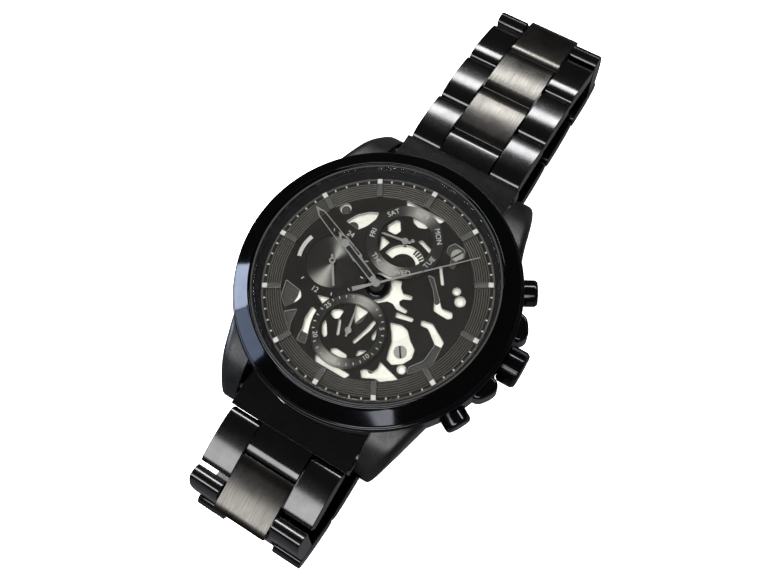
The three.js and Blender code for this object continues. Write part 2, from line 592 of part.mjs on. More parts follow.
// ---------- bracelet ----------
// Side outlines are drawn with the first number along the bracelet and the second outwards.
const HALF = LINK_THICK / 2;
const EDGE = 0.35;

// The outer link's side: square on top, rounded about its pin underneath.
function heelOutline(from, to) {
  const shape = new THREE.Shape();
  shape.moveTo(to - EDGE, HALF);
  shape.lineTo(from + EDGE, HALF);
  shape.lineTo(from, HALF - EDGE);
  shape.absarc(0, 0, LINK_HEEL, Math.PI, Math.PI + Math.asin(HALF / LINK_HEEL), false);
  shape.lineTo(to - EDGE, -HALF);
  shape.lineTo(to, EDGE - HALF);
  shape.lineTo(to, HALF - EDGE);
  shape.closePath();
  return shape;
}

// The centre link's side: its far end is rounded about the next pin underneath.
function tongueOutline(from, pin) {
  const foot = Math.asin(HALF / LINK_TOE);
  const shape = new THREE.Shape();
  shape.moveTo(from, -HALF);
  shape.absarc(pin, 0, LINK_TOE, -foot, 0, false);
  shape.lineTo(pin + LINK_TOE, HALF - EDGE);
  shape.lineTo(pin + LINK_TOE - EDGE, HALF);
  shape.lineTo(from + EDGE, HALF);
  shape.lineTo(from, HALF - EDGE);
  shape.closePath();
  return shape;
}

// One row: two outer links, the centre link that reaches into the next row, and its pin.
function braceletRow(width) {
  const side = heelOutline(-LINK_HEEL, LINK_PITCH - LINK_HEEL - LINK_GAP);
  const outer = slabAlongX(side, SLOT_HALF, width / 2, 2);
  const tongue = slabAlongX(tongueOutline(LINK_TOE + LINK_GAP, LINK_PITCH), -TONGUE_HALF, TONGUE_HALF, 2);
  const bridgeHalf = SLOT_HALF + 0.1;
  const bridge = block(-bridgeHalf, bridgeHalf, LINK_TOE + LINK_GAP + 0.1, 6.4, 0.25 - HALF, HALF - 0.4);
  const pin = barAlongX(LINK_PIN_R, -SLOT_HALF - 0.1, SLOT_HALF + 0.1, 10);
  const eye = barAlongX(LINK_EYE_R, -6, 6, 10, LINK_PITCH);
  return joined(outer, outer.mirror([1, 0, 0]), cut(tongue, eye), bridge, pin);
}

// The end link fills the space between the lugs and follows the case.
function endLink() {
  const side = softened([[16, -5.6], [20, -6.5], [29, -6.5], [29, -3.5], [25.2, -3.5], [16, -1.9]], 0.12);
  const half = LUG_INNER_X - 0.3;
  const room = block(-11, 11, 0, FIRST_PIN_Y - LINK_HEEL - LINK_GAP, -9, 2);
  const body = slabAlongX(side, -half, half, 3).intersect(room);
  const tongue = slabAlongX(tongueOutline(-4.5, 0), -TONGUE_HALF, TONGUE_HALF, 3)
    .translate([0, FIRST_PIN_Y, FIRST_PIN_Z]);
  const eye = barAlongX(LINK_EYE_R, -6, 6, 10, FIRST_PIN_Y, FIRST_PIN_Z);
  const caseSide = bar(CASE_R + 0.3, -12, 4, 48);
  const barHole = barAlongX(SPRING_BAR_R + 0.1, -12, 12, 12, SPRING_BAR_Y, SPRING_BAR_Z);
  return cut(joined(body, tongue), caseSide, eye, barHole);
}

function springBar() {
  return joined(barAlongX(SPRING_BAR_R, -11.9, 11.9, 12), barAlongX(0.5, -9.8, 9.8, 12));
}

// Pins of one half of the bracelet: where each row starts and how steeply it runs.
function walk(slopes) {
  const rows = [];
  let y = FIRST_PIN_Y;
  let z = FIRST_PIN_Z;
  for (const slope of slopes) {
    rows.push({ y, z, slope });
    y += LINK_PITCH * Math.cos(slope * degrees);
    z += LINK_PITCH * Math.sin(slope * degrees);
  }
  return { rows, end: { y, z } };
}

const LEVEL = -180;
const upper = walk([-5, -8, -18, -90, LEVEL, LEVEL, LEVEL, LEVEL]);
const FLOOR_RUN_Z = upper.end.z;     // pins of the rows that run back under the case
const lowerBend = walk([-10, -80]).end;
const lowerReturn = Math.asin((lowerBend.z - FLOOR_RUN_Z) / LINK_PITCH) / degrees;
const lower = walk([-10, -80, lowerReturn - 180, LEVEL]);

// ---------- folding clasp ----------
// It lies between the last pins of the two halves, along Y.
const CLASP_PIN_12_Y = upper.end.y;
const CLASP_PIN_6_Y = -lower.end.y;
const BLADE_HALF = 4.3;
const COVER_HALF = 9.1;
const BASE_HINGE_Y = 12.6;
const COVER_HINGE_Y = -15.6;
const BLADE_HINGE_Z = FLOOR_RUN_Z - 0.35;
const HINGE_PIN_R = 0.4;
const BUTTON_Y = 8.0;
const BUTTON_Z = FLOOR_RUN_Z - 0.9;

// The inner blade, pinned to the 6 o'clock half of the bracelet.
function claspBase() {
  const near = CLASP_PIN_6_Y + LINK_TOE + LINK_GAP;
  const top = FLOOR_RUN_Z + HALF;
  const plate = block(-7.2, 7.2, near, BASE_HINGE_Y - 1.4, top - 0.6, top);
  const ear = block(SLOT_HALF, 7.2, CLASP_PIN_6_Y - 1.2, near + 1, FLOOR_RUN_Z - 1.2, top);
  const fork = block(SLOT_HALF, 7.2, BASE_HINGE_Y - 2.6, BASE_HINGE_Y + 1.1, BLADE_HINGE_Z - 1.0, top);
  const forks = [fork, fork.mirror([1, 0, 0])].map((side) => cut(side,
    barAlongX(HINGE_PIN_R + 0.08, -9, 9, 14, BASE_HINGE_Y, BLADE_HINGE_Z)));
  const pin = barAlongX(LINK_PIN_R, -SLOT_HALF - 0.1, SLOT_HALF + 0.1, 12, CLASP_PIN_6_Y, FLOOR_RUN_Z);
  return joined(plate, ear, ear.mirror([1, 0, 0]), pin, ...forks);
}

// The middle blade, folded back between the base and the cover.
function claspMiddle() {
  const low = BLADE_HINGE_Z - 0.35;
  const high = BLADE_HINGE_Z + 0.35;
  const plate = block(-BLADE_HALF, BLADE_HALF, COVER_HINGE_Y, BASE_HINGE_Y, low, high);
  const window = block(-2.2, 2.2, COVER_HINGE_Y + 6, BASE_HINGE_Y - 6, low - 1, high + 1);
  const knuckle = barAlongX(0.85, -BLADE_HALF, BLADE_HALF, 16, 0, BLADE_HINGE_Z);
  const pin = barAlongX(HINGE_PIN_R, -7.0, 7.0, 14, 0, BLADE_HINGE_Z);
  const hinge = joined(knuckle, pin);
  const atBase = hinge.translate([0, BASE_HINGE_Y, 0]);
  const atCover = hinge.translate([0, COVER_HINGE_Y, 0]);
  return joined(cut(plate, window), atBase, atCover);
}

// The outer cover: a shallow tray with ears for the 12 o'clock half of the bracelet.
function claspCover() {
  const foot = -DIAL_Z;
  const endY = CLASP_PIN_12_Y - LINK_TOE - LINK_GAP;
  const plate = block(-COVER_HALF, COVER_HALF, CLASP_PIN_6_Y + 2.0, endY, foot, foot + 0.8);
  const skirt = block(COVER_HALF - 1.0, COVER_HALF, CLASP_PIN_6_Y + 2.0, endY, foot, FLOOR_RUN_Z + 0.4);
  const ear = block(SLOT_HALF + 0.1, COVER_HALF, endY - 1.2, CLASP_PIN_12_Y + 2.0, foot, FLOOR_RUN_Z + 0.9);
  const hingeBlock = block(BLADE_HALF + 0.3, 7.0, COVER_HINGE_Y - 1.0, COVER_HINGE_Y + 1.4, foot,
    BLADE_HINGE_Z + 0.95);
  const hingeHole = barAlongX(HINGE_PIN_R + 0.08, -8, 8, 14, COVER_HINGE_Y, BLADE_HINGE_Z);
  const buttonHole = barAlongX(0.82, 6, 12, 16, BUTTON_Y, BUTTON_Z);
  const half = cut(joined(skirt, ear, hingeBlock), hingeHole, buttonHole);
  return joined(plate, half, half.mirror([1, 0, 0]));
}

function claspButton() {
  return joined(barAlongX(0.7, COVER_HALF - 2.2, COVER_HALF + 0.9, 16, BUTTON_Y, BUTTON_Z),
    barAlongX(0.95, COVER_HALF - 2.6, COVER_HALF - 2.1, 16, BUTTON_Y, BUTTON_Z));
}

// ---------- materials ----------
function material(name, color, roughness, metalness, more = {}) {
  return new THREE.MeshStandardMaterial({ name, color, roughness, metalness, ...more });
}

const looks = {
  blackSteel: () => material('black_polished_steel', 0x141416, 0.16, 1.0),
  blackBrushed: () => material('black_brushed_steel', 0x2b2a2b, 0.42, 1.0),
  glass: () => material('glass', 0xf4f6f8, 0.03, 0.0, { transparent: true, opacity: 0.2 }),
  seal: () => material('seal_rubber', 0x101010, 0.85, 0.0),
  dial: () => material('dial_black', 0x0c0c0d, 0.45, 0.3),
  silver: () => material('silver_plate', 0xd8d6cf, 0.3, 0.9),
  marker: () => material('marker_black', 0x3a3a3b, 0.25, 0.9),
  hand: () => material('hand_steel', 0x9c9c9a, 0.25, 0.9),
  wheel: () => material('wheel_brass', 0xb79a5c, 0.35, 0.9),
  plastic: () => material('holder_plastic', 0x1b1b1d, 0.6, 0.0),
  board: () => material('circuit_board', 0x1f4a2c, 0.55, 0.0),
  copper: () => material('copper_winding', 0xa85a2c, 0.4, 0.8),
};

// ---------- the watch ----------
const watch = new THREE.Group();
watch.name = 'skeleton_wristwatch';
const head = new THREE.Group();      // everything measured from the dial plate
head.position.z = DIAL_Z;
watch.add(head);

function place(name, solid, look, parent = head) {
  const mesh = new THREE.Mesh(geometryOf(solid), look());
  mesh.name = name;
  parent.add(mesh);
  return mesh;
}

place('case_middle', caseMiddle(), looks.blackSteel);
place('bezel', bezel(), looks.blackSteel);
place('crystal', crystal(), looks.glass);
place('crystal_gasket', crystalGasket(), looks.seal);
place('rehaut_ring', rehautRing(), looks.blackSteel);
place('case_back', caseBack(), looks.blackBrushed);

place('dial_plate', dialPlate(), looks.dial);
place('open_bridge', openBridge(), looks.silver);
place('hour_markers', hourMarkers(), looks.marker);
place('day_ring', dayRing(), looks.dial).position.y = DAY_Y;
place('date_ring', dateRing(), looks.blackSteel).position.y = DATE_Y;
place('dial_screw_upper', dialScrew(), looks.silver).position.set(...DIAL_SCREWS[0], 0);
place('dial_screw_lower', dialScrew(), looks.silver).position.set(...DIAL_SCREWS[1], 0);

function placeHand(name, solid, x, y, clockwise) {
  const hand = place(name, solid, looks.hand);
  hand.position.set(x, y, 0);
  hand.rotation.z = -clockwise * degrees;
}

placeHand('hour_hand', hourHand(), 0, 0, HOUR_HAND_ANGLE);
placeHand('minute_hand', minuteHand(), 0, 0, MINUTE_HAND_ANGLE);
placeHand('seconds_hand', secondsHand(), 0, 0, SECONDS_HAND_ANGLE);
placeHand('day_hand', dayHand(), 0, DAY_Y, DAY_HAND_ANGLE);
placeHand('date_hand', dateHand(), 0, DATE_Y, DATE_HAND_ANGLE);
placeHand('hand_24h', hours24Hand(), HOURS_24_X, 0, HOURS_24_HAND_ANGLE);

place('cannon_pinion', cannonPinion(), looks.wheel);
place('minute_wheel', minuteWheel(), looks.wheel).position.set(MINUTE_WHEEL_X, MINUTE_WHEEL_Y, 0);
place('hour_wheel', hourWheel(), looks.wheel);
place('wheel_24h', hours24Wheel(), looks.wheel).position.x = HOURS_24_X;

place('main_plate', mainPlate(), looks.silver);
place('centre_wheel', centreWheel(), looks.wheel);
place('third_wheel', thirdWheel(), looks.wheel).position.set(THIRD_X, THIRD_Y, 0);
place('seconds_wheel', secondsWheel(), looks.wheel);
place('step_wheel', stepWheel(), looks.wheel).position.set(STEP_X, STEP_Y, 0);
place('rotor', rotor(), looks.marker).position.set(ROTOR_X, ROTOR_Y, 0);
place('stator', stator(), looks.silver);
place('coil', coil(), looks.copper);
place('train_bridge', trainBridge(), looks.silver);
place('circuit_board', circuitBoard(), looks.board);
place('battery', battery(), looks.silver);
place('movement_holder', movementHolder(), looks.plastic);

place('crown_stem', crownStem(), looks.silver);
place('crown', crown(), looks.blackSteel);
place('pusher_upper', pusher(), looks.blackSteel).rotation.z = PUSHER_ANGLE;
place('pusher_lower', pusher(), looks.blackSteel).rotation.z = -PUSHER_ANGLE;

// Each half is built along +Y; the 6 o'clock half is turned half a turn about Z.
function placeHalf(clock, rows, turn) {
  const half = new THREE.Group();
  half.rotation.z = turn;
  head.add(half);
  place(`end_link_${clock}`, endLink(), looks.blackSteel, half);
  const springBarMesh = place(`spring_bar_${clock}`, springBar(), looks.silver, half);
  springBarMesh.position.set(0, SPRING_BAR_Y, SPRING_BAR_Z);
  rows.forEach(({ y, z, slope }, index) => {
    const width = LINK_FIRST_WIDTH - LINK_TAPER * index;
    const row = place(`link_${clock}_${index + 1}`, braceletRow(width), looks.blackSteel, half);
    row.position.set(0, y, z);
    row.rotation.x = slope * degrees;
  });
}

placeHalf(12, upper.rows, 0);
placeHalf(6, lower.rows, Math.PI);

place('clasp_base', claspBase(), looks.blackBrushed);
place('clasp_middle', claspMiddle(), looks.blackBrushed);
place('clasp_cover', claspCover(), looks.blackSteel);
place('clasp_button_right', claspButton(), looks.blackSteel);
place('clasp_button_left', claspButton().mirror([1, 0, 0]), looks.blackSteel);

export default watch;
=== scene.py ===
import json
import math

import bmesh
import bpy
from mathutils import Matrix, Vector

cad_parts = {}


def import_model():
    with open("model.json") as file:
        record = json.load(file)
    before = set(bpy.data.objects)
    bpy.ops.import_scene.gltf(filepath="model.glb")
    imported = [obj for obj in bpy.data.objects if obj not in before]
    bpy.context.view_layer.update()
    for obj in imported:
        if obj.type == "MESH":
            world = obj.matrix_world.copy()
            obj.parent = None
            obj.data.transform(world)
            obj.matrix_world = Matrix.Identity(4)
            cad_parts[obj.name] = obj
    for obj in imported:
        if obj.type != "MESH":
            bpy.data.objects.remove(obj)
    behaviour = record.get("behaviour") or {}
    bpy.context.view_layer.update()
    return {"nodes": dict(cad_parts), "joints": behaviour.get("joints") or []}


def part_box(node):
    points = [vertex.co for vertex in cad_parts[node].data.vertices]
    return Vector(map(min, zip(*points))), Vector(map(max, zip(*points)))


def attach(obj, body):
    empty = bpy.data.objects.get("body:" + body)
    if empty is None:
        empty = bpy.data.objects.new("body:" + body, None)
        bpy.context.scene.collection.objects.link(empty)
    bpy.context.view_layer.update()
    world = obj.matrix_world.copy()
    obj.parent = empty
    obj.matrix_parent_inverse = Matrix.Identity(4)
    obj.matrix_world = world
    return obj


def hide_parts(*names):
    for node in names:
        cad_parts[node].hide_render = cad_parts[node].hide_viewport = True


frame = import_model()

# Shapes are written in millimetres, in a local frame of each piece, and scaled on the way into Blender.
MM = 0.001

# ---------- places and sizes from the frame ----------
JOINTS = {joint["name"]: joint for joint in frame["joints"]}


def low_mm(node):
    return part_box(node)[0] / MM


def high_mm(node):
    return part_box(node)[1] / MM


def pivot_mm(joint):
    return Vector(JOINTS[joint]["pos_m"]) / MM


DIAL_Z = high_mm("dial_plate").z
HEAD = Matrix.Translation((0, 0, DIAL_Z))      # millimetres; heights are counted from the dial face
DAY_Y = pivot_mm("day_hand_turn").y
DATE_Y = pivot_mm("date_hand_turn").y
HOURS_24_X = pivot_mm("hand_24h_turn").x
DIAL_R = high_mm("dial_plate").x
BEZEL_R = high_mm("bezel").x
GLASS_R = high_mm("crystal").x
BACK_R = high_mm("case_back").x
DAY_RING_R = high_mm("day_ring").x
DATE_RING_R = high_mm("date_ring").x
STEM_Z = pivot_mm("crown_turn").z - DIAL_Z
LAST_PIN_Z = pivot_mm("link_12_8_hinge").z     # height of the links that lie under the case

# ---------- dimensions shared by several pieces ----------
CASE_R = 21.5
CASE_BORE_R = 18.4
CASE_FOOT_Z = -5.6
TRACK_R = 17.3
RING_INNER_R = 4.1
LUG_INNER_X = 10.35
PUSHER_ANGLE = 29
PUSHER_Z = -2.3
PUSHER_CAP_R = 2.0
PUSHER_SEAT_X = 20.0                           # bottom of the seat a pusher sinks into
PITCH = 9.3
LINK_HALF = 1.5
HEEL = 2.3
TOE = 2.35
LINK_GAP = 0.18
TONGUE_HALF = 4.4
SLOT_HALF = 4.52
PIN_R = 0.6
EYE_R = 0.72
FINE = 256                                     # segments round a large turned piece
MEDIUM = 96
SMALL = 40
EPS = 1e-6

HAND_ANGLES = {"hour_hand": 294.4, "minute_hand": 292.5, "seconds_hand": 45.5,
               "day_hand": 261.0, "date_hand": 348.0, "hand_24h": 145.0}


# ---------- outlines ----------
def polar(radius, degrees):
    """A point at an angle counted anticlockwise from +X."""
    angle = math.radians(degrees)
    return (radius * math.cos(angle), radius * math.sin(angle))


def arc(centre, radius, start, end, steps):
    points = []
    for i in range(steps + 1):
        x, y = polar(radius, start + (end - start) * i / steps)
        points.append((centre[0] + x, centre[1] + y))
    return points


def softened(points, reach, steps=5):
    """The closed outline with each corner rounded, starting the given reach before it.
    reach may be one length or one for each corner; 0 leaves a corner sharp."""
    count = len(points)
    reaches = reach if isinstance(reach, (list, tuple)) else [reach] * count
    result = []
    for i, corner in enumerate(points):
        here = Vector(corner)
        before = Vector(points[i - 1]) - here
        after = Vector(points[(i + 1) % count]) - here
        if reaches[i] <= 0:
            result.append(tuple(here))
            continue
        start = here + before.normalized() * min(reaches[i], before.length * 0.48)
        end = here + after.normalized() * min(reaches[i], after.length * 0.48)
        for step in range(steps + 1):
            t = step / steps
            result.append(tuple(start * (1 - t) ** 2 + here * 2 * t * (1 - t) + end * t * t))
    return result


def area(points):
    total = 0
    for i, (x, y) in enumerate(points):
        before = points[i - 1]
        total += before[0] * y - x * before[1]
    return total / 2


def widened(points, distance):
    """The outline moved outwards by the distance."""
    sign = 1 if area(points) > 0 else -1
    count = len(points)
    result = []
    for i in range(count):
        here = Vector(points[i])
        along_in = (here - Vector(points[i - 1])).normalized()
        along_out = (Vector(points[(i + 1) % count]) - here).normalized()
        normal = Vector((along_in.y + along_out.y, -along_in.x - along_out.x)) * sign
        if normal.length < EPS:
            result.append(tuple(here))
            continue
        normal.normalize()
        spread = max(0.5, normal.x * along_in.y * sign - normal.y * along_in.x * sign)
        result.append(tuple(here + normal * distance / spread))
    return result


# ---------- solids, as bmeshes in millimetres ----------
def skin(loops, closed_ends=True, ring=False, material=0):
    """A solid through loops of points that all have the same count."""
    bm = bmesh.new()
    rows = [[bm.verts.new(point) for point in loop] for loop in loops]
    count = len(rows[0])
    pairs = list(zip(rows, rows[1:]))
    if ring:
        pairs.append((rows[-1], rows[0]))
    for lower, upper in pairs:
        for i in range(count):
            j = (i + 1) % count
            bm.faces.new((lower[i], lower[j], upper[j], upper[i]))
    if closed_ends and not ring:
        bm.faces.new(list(reversed(rows[0])))
        bm.faces.new(rows[-1])
    return finished(bm, material)


def finished(bm, material=0):
    bmesh.ops.remove_doubles(bm, verts=bm.verts, dist=1e-5)
    bmesh.ops.recalc_face_normals(bm, faces=bm.faces)
    for face in bm.faces:
        face.material_index = material
        face.smooth = True
    return bm


def turned(profile, segments=FINE, material=0):
    """A turned piece about Z. The profile is a closed loop of (radius, height), or runs from axis to axis."""
    loops = []
    for radius, height in profile:
        loops.append([(*polar(max(radius, 0), 360 * i / segments), height) for i in range(segments)])
    on_axis = profile[0][0] < EPS and profile[-1][0] < EPS
    return skin(loops, closed_ends=False, ring=not on_axis, material=material)


def slab(outline, z0, z1, material=0):
    points = outline if area(outline) > 0 else list(reversed(outline))
    return skin([[(x, y, z0) for x, y in points], [(x, y, z1) for x, y in points]], material=material)


def disc(radius, z0, z1, x=0, y=0, segments=SMALL, material=0):
    return slab(arc((x, y), radius, 0, 360 - 360 / segments, segments - 1), z0, z1, material)


def block(x0, x1, y0, y1, z0, z1, material=0):
    return slab([(x0, y0), (x1, y0), (x1, y1), (x0, y1)], z0, z1, material)


def to_x_axis(bm):
    """Turns a solid made about Z, or extruded along Z, to run along X, its X to Y and its Y to Z."""
    turn = Matrix(((0, 0, 1, 0), (1, 0, 0, 0), (0, 1, 0, 0), (0, 0, 0, 1)))
    bm.transform(turn)
    return bm


def rod_x(radius, x0, x1, y=0, z=0, segments=SMALL, chamfer=0.0, material=0):
    if chamfer > 0:
        profile = [(0, x0), (radius - chamfer, x0), (radius, x0 + chamfer), (radius, x1 - chamfer),
                   (radius - chamfer, x1), (0, x1)]
        bm = turned(profile, segments, material)
    else:
        bm = disc(radius, x0, x1, segments=segments, material=material)
    return moved(to_x_axis(bm), y=y, z=z)


def moved(bm, x=0, y=0, z=0, turn=0):
    """Turned about Z by degrees, then moved."""
    bm.transform(Matrix.Translation((x, y, z)) @ Matrix.Rotation(math.radians(turn), 4, "Z"))
    return bm


def mirrored(bm, axis="X"):
    scale = (-1, 1, 1) if axis == "X" else (1, -1, 1)
    other = bm.copy()
    bmesh.ops.scale(other, vec=scale, verts=other.verts)
    bmesh.ops.reverse_faces(other, faces=other.faces)
    return other


def together(*parts):
    """Separate solids in one bmesh."""
    result = bmesh.new()
    for part in parts:
        mesh = bpy.data.meshes.new("part")
        part.to_mesh(mesh)
        result.from_mesh(mesh)
        bpy.data.meshes.remove(mesh)
    return result


def eased(bm, width, segments=3, angle=28):
    """Every edge sharper than the angle gets a rounded bevel."""
    bmesh.ops.recalc_face_normals(bm, faces=bm.faces)
    limit = math.radians(angle)
    edges = [e for e in bm.edges if len(e.link_faces) == 2 and e.calc_face_angle(0) > limit]
    bmesh.ops.bevel(bm, geom=edges, offset=width, offset_type="OFFSET", segments=segments,
                    profile=0.5, affect="EDGES", clamp_overlap=True)
    for face in bm.faces:
        face.smooth = True
    return bm


def as_object(bm, name):
    mesh = bpy.data.meshes.new(name)
    bm.to_mesh(mesh)
    for _ in range(4):
        mesh.materials.append(None)
    thing = bpy.data.objects.new(name, mesh)
    bpy.context.scene.collection.objects.link(thing)
    return thing


def combined(base, tool, operation):
    """base joined with, cut by or kept inside tool: UNION, DIFFERENCE or INTERSECT."""
    first = as_object(base, "base")
    second = as_object(tool, "tool")
    modifier = first.modifiers.new("boolean", "BOOLEAN")
    modifier.operation = operation
    modifier.solver = "MANIFOLD"
    modifier.object = second
    graph = bpy.context.evaluated_depsgraph_get()
    mesh = bpy.data.meshes.new_from_object(first.evaluated_get(graph))
    result = bmesh.new()
    result.from_mesh(mesh)
    for thing in (first, second):
        data = thing.data
        bpy.data.objects.remove(thing)
        bpy.data.meshes.remove(data)
    bpy.data.meshes.remove(mesh)
    if not result.faces:
        raise RuntimeError(f"{operation} left nothing")
    return result


def joined(base, *others):
    for other in others:
        base = combined(base, other, "UNION")
    return base


def cut(base, *tools):
    return combined(base, together(*tools), "DIFFERENCE")


# ---------- from bmesh to a piece of the watch ----------
def piece(name, bm, looks, body, replaces=(), place=HEAD, sharp=32):
    """A finished object. place is in millimetres; looks are materials by face material index."""
    bmesh.ops.remove_doubles(bm, verts=bm.verts, dist=1e-4)
    limit = math.radians(sharp)
    for edge in bm.edges:
        edge.smooth = len(edge.link_faces) != 2 or edge.calc_face_angle(0) < limit
    for face in bm.faces:
        face.smooth = True
    bmesh.ops.scale(bm, vec=(MM, MM, MM), verts=bm.verts)
    mesh = bpy.data.meshes.new(name)
    bm.to_mesh(mesh)
    bm.free()
    for look in looks:
        mesh.materials.append(look)
    thing = bpy.data.objects.new(name, mesh)
    bpy.context.scene.collection.objects.link(thing)
    place = place.copy()
    place.translation = place.translation * MM
    thing.matrix_world = place
    weighted = thing.modifiers.new("normals", "WEIGHTED_NORMAL")
    weighted.keep_sharp = True
    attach(thing, body)
    if replaces:
        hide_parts(*replaces)
    return thing


# ---------- node materials ----------
class Look:
    """A node material under construction. Lengths in its textures are in millimetres."""

    def __init__(self, name):
        self.material = bpy.data.materials.new(name)
        self.material.use_nodes = True
        self.nodes = self.material.node_tree.nodes
        self.links = self.material.node_tree.links
        self.shader = self.nodes["Principled BSDF"]
        coordinates = self.nodes.new("ShaderNodeTexCoord")
        scaled = self.nodes.new("ShaderNodeVectorMath")
        scaled.operation = "SCALE"
        scaled.inputs["Scale"].default_value = 1 / MM
        self.links.new(coordinates.outputs["Object"], scaled.inputs[0])
        self.mm = scaled.outputs[0]

    def set(self, **values):
        names = {"color": "Base Color", "metallic": "Metallic", "roughness": "Roughness", "ior": "IOR",
                 "coat": "Coat Weight", "coat_roughness": "Coat Roughness", "anisotropic": "Anisotropic",
                 "specular": "Specular IOR Level", "alpha": "Alpha"}
        for key, value in values.items():
            if key == "color":
                value = (*value, 1)
            self.shader.inputs[names[key]].default_value = value
        return self

    def link(self, source, name):
        self.links.new(source, self.shader.inputs[name])

    def noise(self, scale, detail=3.0, stretch=(1, 1, 1), roughness=0.55):
        """Noise with scale features to a millimetre, stretched along an axis by a small factor there."""
        mapping = self.nodes.new("ShaderNodeMapping")
        mapping.inputs["Scale"].default_value = stretch
        self.links.new(self.mm, mapping.inputs["Vector"])
        texture = self.nodes.new("ShaderNodeTexNoise")
        texture.inputs["Scale"].default_value = scale
        texture.inputs["Detail"].default_value = detail
        texture.inputs["Roughness"].default_value = roughness
        self.links.new(mapping.outputs[0], texture.inputs["Vector"])
        return texture.outputs["Fac"]

    def ramp(self, source, low, high, from_low=0.3, from_high=0.7):
        """A number that runs from low to high as the source runs between its two bounds."""
        node = self.nodes.new("ShaderNodeMapRange")
        node.inputs["From Min"].default_value = from_low
        node.inputs["From Max"].default_value = from_high
        node.inputs["To Min"].default_value = low
        node.inputs["To Max"].default_value = high
        self.links.new(source, node.inputs["Value"])
        return node.outputs["Result"]

    def blend(self, share, first, second):
        """A colour between two, by share."""
        node = self.nodes.new("ShaderNodeMix")
        node.data_type = "RGBA"
        node.inputs["A"].default_value = (*first, 1)
        node.inputs["B"].default_value = (*second, 1)
        self.links.new(share, node.inputs["Factor"])
        return node.outputs["Result"]

    def bump(self, height, depth, strength=1.0):
        """depth is in millimetres."""
        node = self.nodes.new("ShaderNodeBump")
        node.inputs["Strength"].default_value = strength
        node.inputs["Distance"].default_value = depth * MM
        self.links.new(height, node.inputs["Height"])
        previous = self.shader.inputs["Normal"].links
        if previous:
            self.links.new(previous[0].from_socket, node.inputs["Normal"])
        self.link(node.outputs[0], "Normal")

    def radius(self):
        """Distance from the local Z axis, in millimetres."""
        split = self.nodes.new("ShaderNodeSeparateXYZ")
        self.links.new(self.mm, split.inputs[0])
        flat = self.nodes.new("ShaderNodeCombineXYZ")
        self.links.new(split.outputs["X"], flat.inputs["X"])
        self.links.new(split.outputs["Y"], flat.inputs["Y"])
        length = self.nodes.new("ShaderNodeVectorMath")
        length.operation = "LENGTH"
        self.links.new(flat.outputs[0], length.inputs[0])
        return length.outputs["Value"]

    def cone_share(self):
        """1 along the local Y axis and falling to 0 to both sides of it; the mask of a painted highlight."""
        split = self.nodes.new("ShaderNodeSeparateXYZ")
        self.links.new(self.mm, split.inputs[0])
        ratio = self.nodes.new("ShaderNodeMath")
        ratio.operation = "DIVIDE"
        self.links.new(split.outputs["Y"], ratio.inputs[0])
        self.links.new(self.radius(), ratio.inputs[1])
        size = self.nodes.new("ShaderNodeMath")
        size.operation = "ABSOLUTE"
        self.links.new(ratio.outputs[0], size.inputs[0])
        narrow = self.nodes.new("ShaderNodeMath")
        narrow.operation = "POWER"
        narrow.inputs[1].default_value = 14
        self.links.new(size.outputs[0], narrow.inputs[0])
        return narrow.outputs[0]

    def wave(self, source, per_mm):
        """A sine wave along a number in millimetres."""
        times = self.nodes.new("ShaderNodeMath")
        times.operation = "MULTIPLY"
        times.inputs[1].default_value = per_mm * 2 * math.pi
        self.links.new(source, times.inputs[0])
        sine = self.nodes.new("ShaderNodeMath")
        sine.operation = "SINE"
        self.links.new(times.outputs[0], sine.inputs[0])
        return sine.outputs[0]


def polished(name, color, roughness=0.12, metallic=1.0, coat=0.0):
    """Plated and polished: faint waviness, fine hairlines and slightly uneven gloss."""
    look = Look(name).set(metallic=metallic, coat=coat, coat_roughness=0.06)
    tone = look.noise(0.35, 3)
    darker = tuple(c * 0.82 for c in color)
    look.link(look.blend(look.ramp(tone, 0, 1), darker, color), "Base Color")
    look.link(look.ramp(look.noise(1.6, 4), roughness * 0.92, roughness * 1.1), "Roughness")
    look.bump(look.noise(0.22, 2), 0.012, 0.3)
    look.bump(look.noise(9, 2, stretch=(1, 0.05, 1)), 0.0006, 0.4)
    return look.material


def brushed(name, color, roughness=0.34, stretch=(1, 0.02, 1), per_mm=7.0, depth=0.006, metallic=1.0):
    """Lines along the axis whose stretch is small."""
    look = Look(name).set(metallic=metallic)
    grain = look.noise(per_mm, 5, stretch=stretch, roughness=0.7)
    cloud = look.noise(0.3, 3)
    darker = tuple(c * 0.62 for c in color)
    look.link(look.blend(look.ramp(grain, 0, 1), darker, color), "Base Color")
    look.link(look.ramp(cloud, roughness * 0.85, roughness * 1.2), "Roughness")
    look.bump(grain, depth, 0.8)
    return look.material


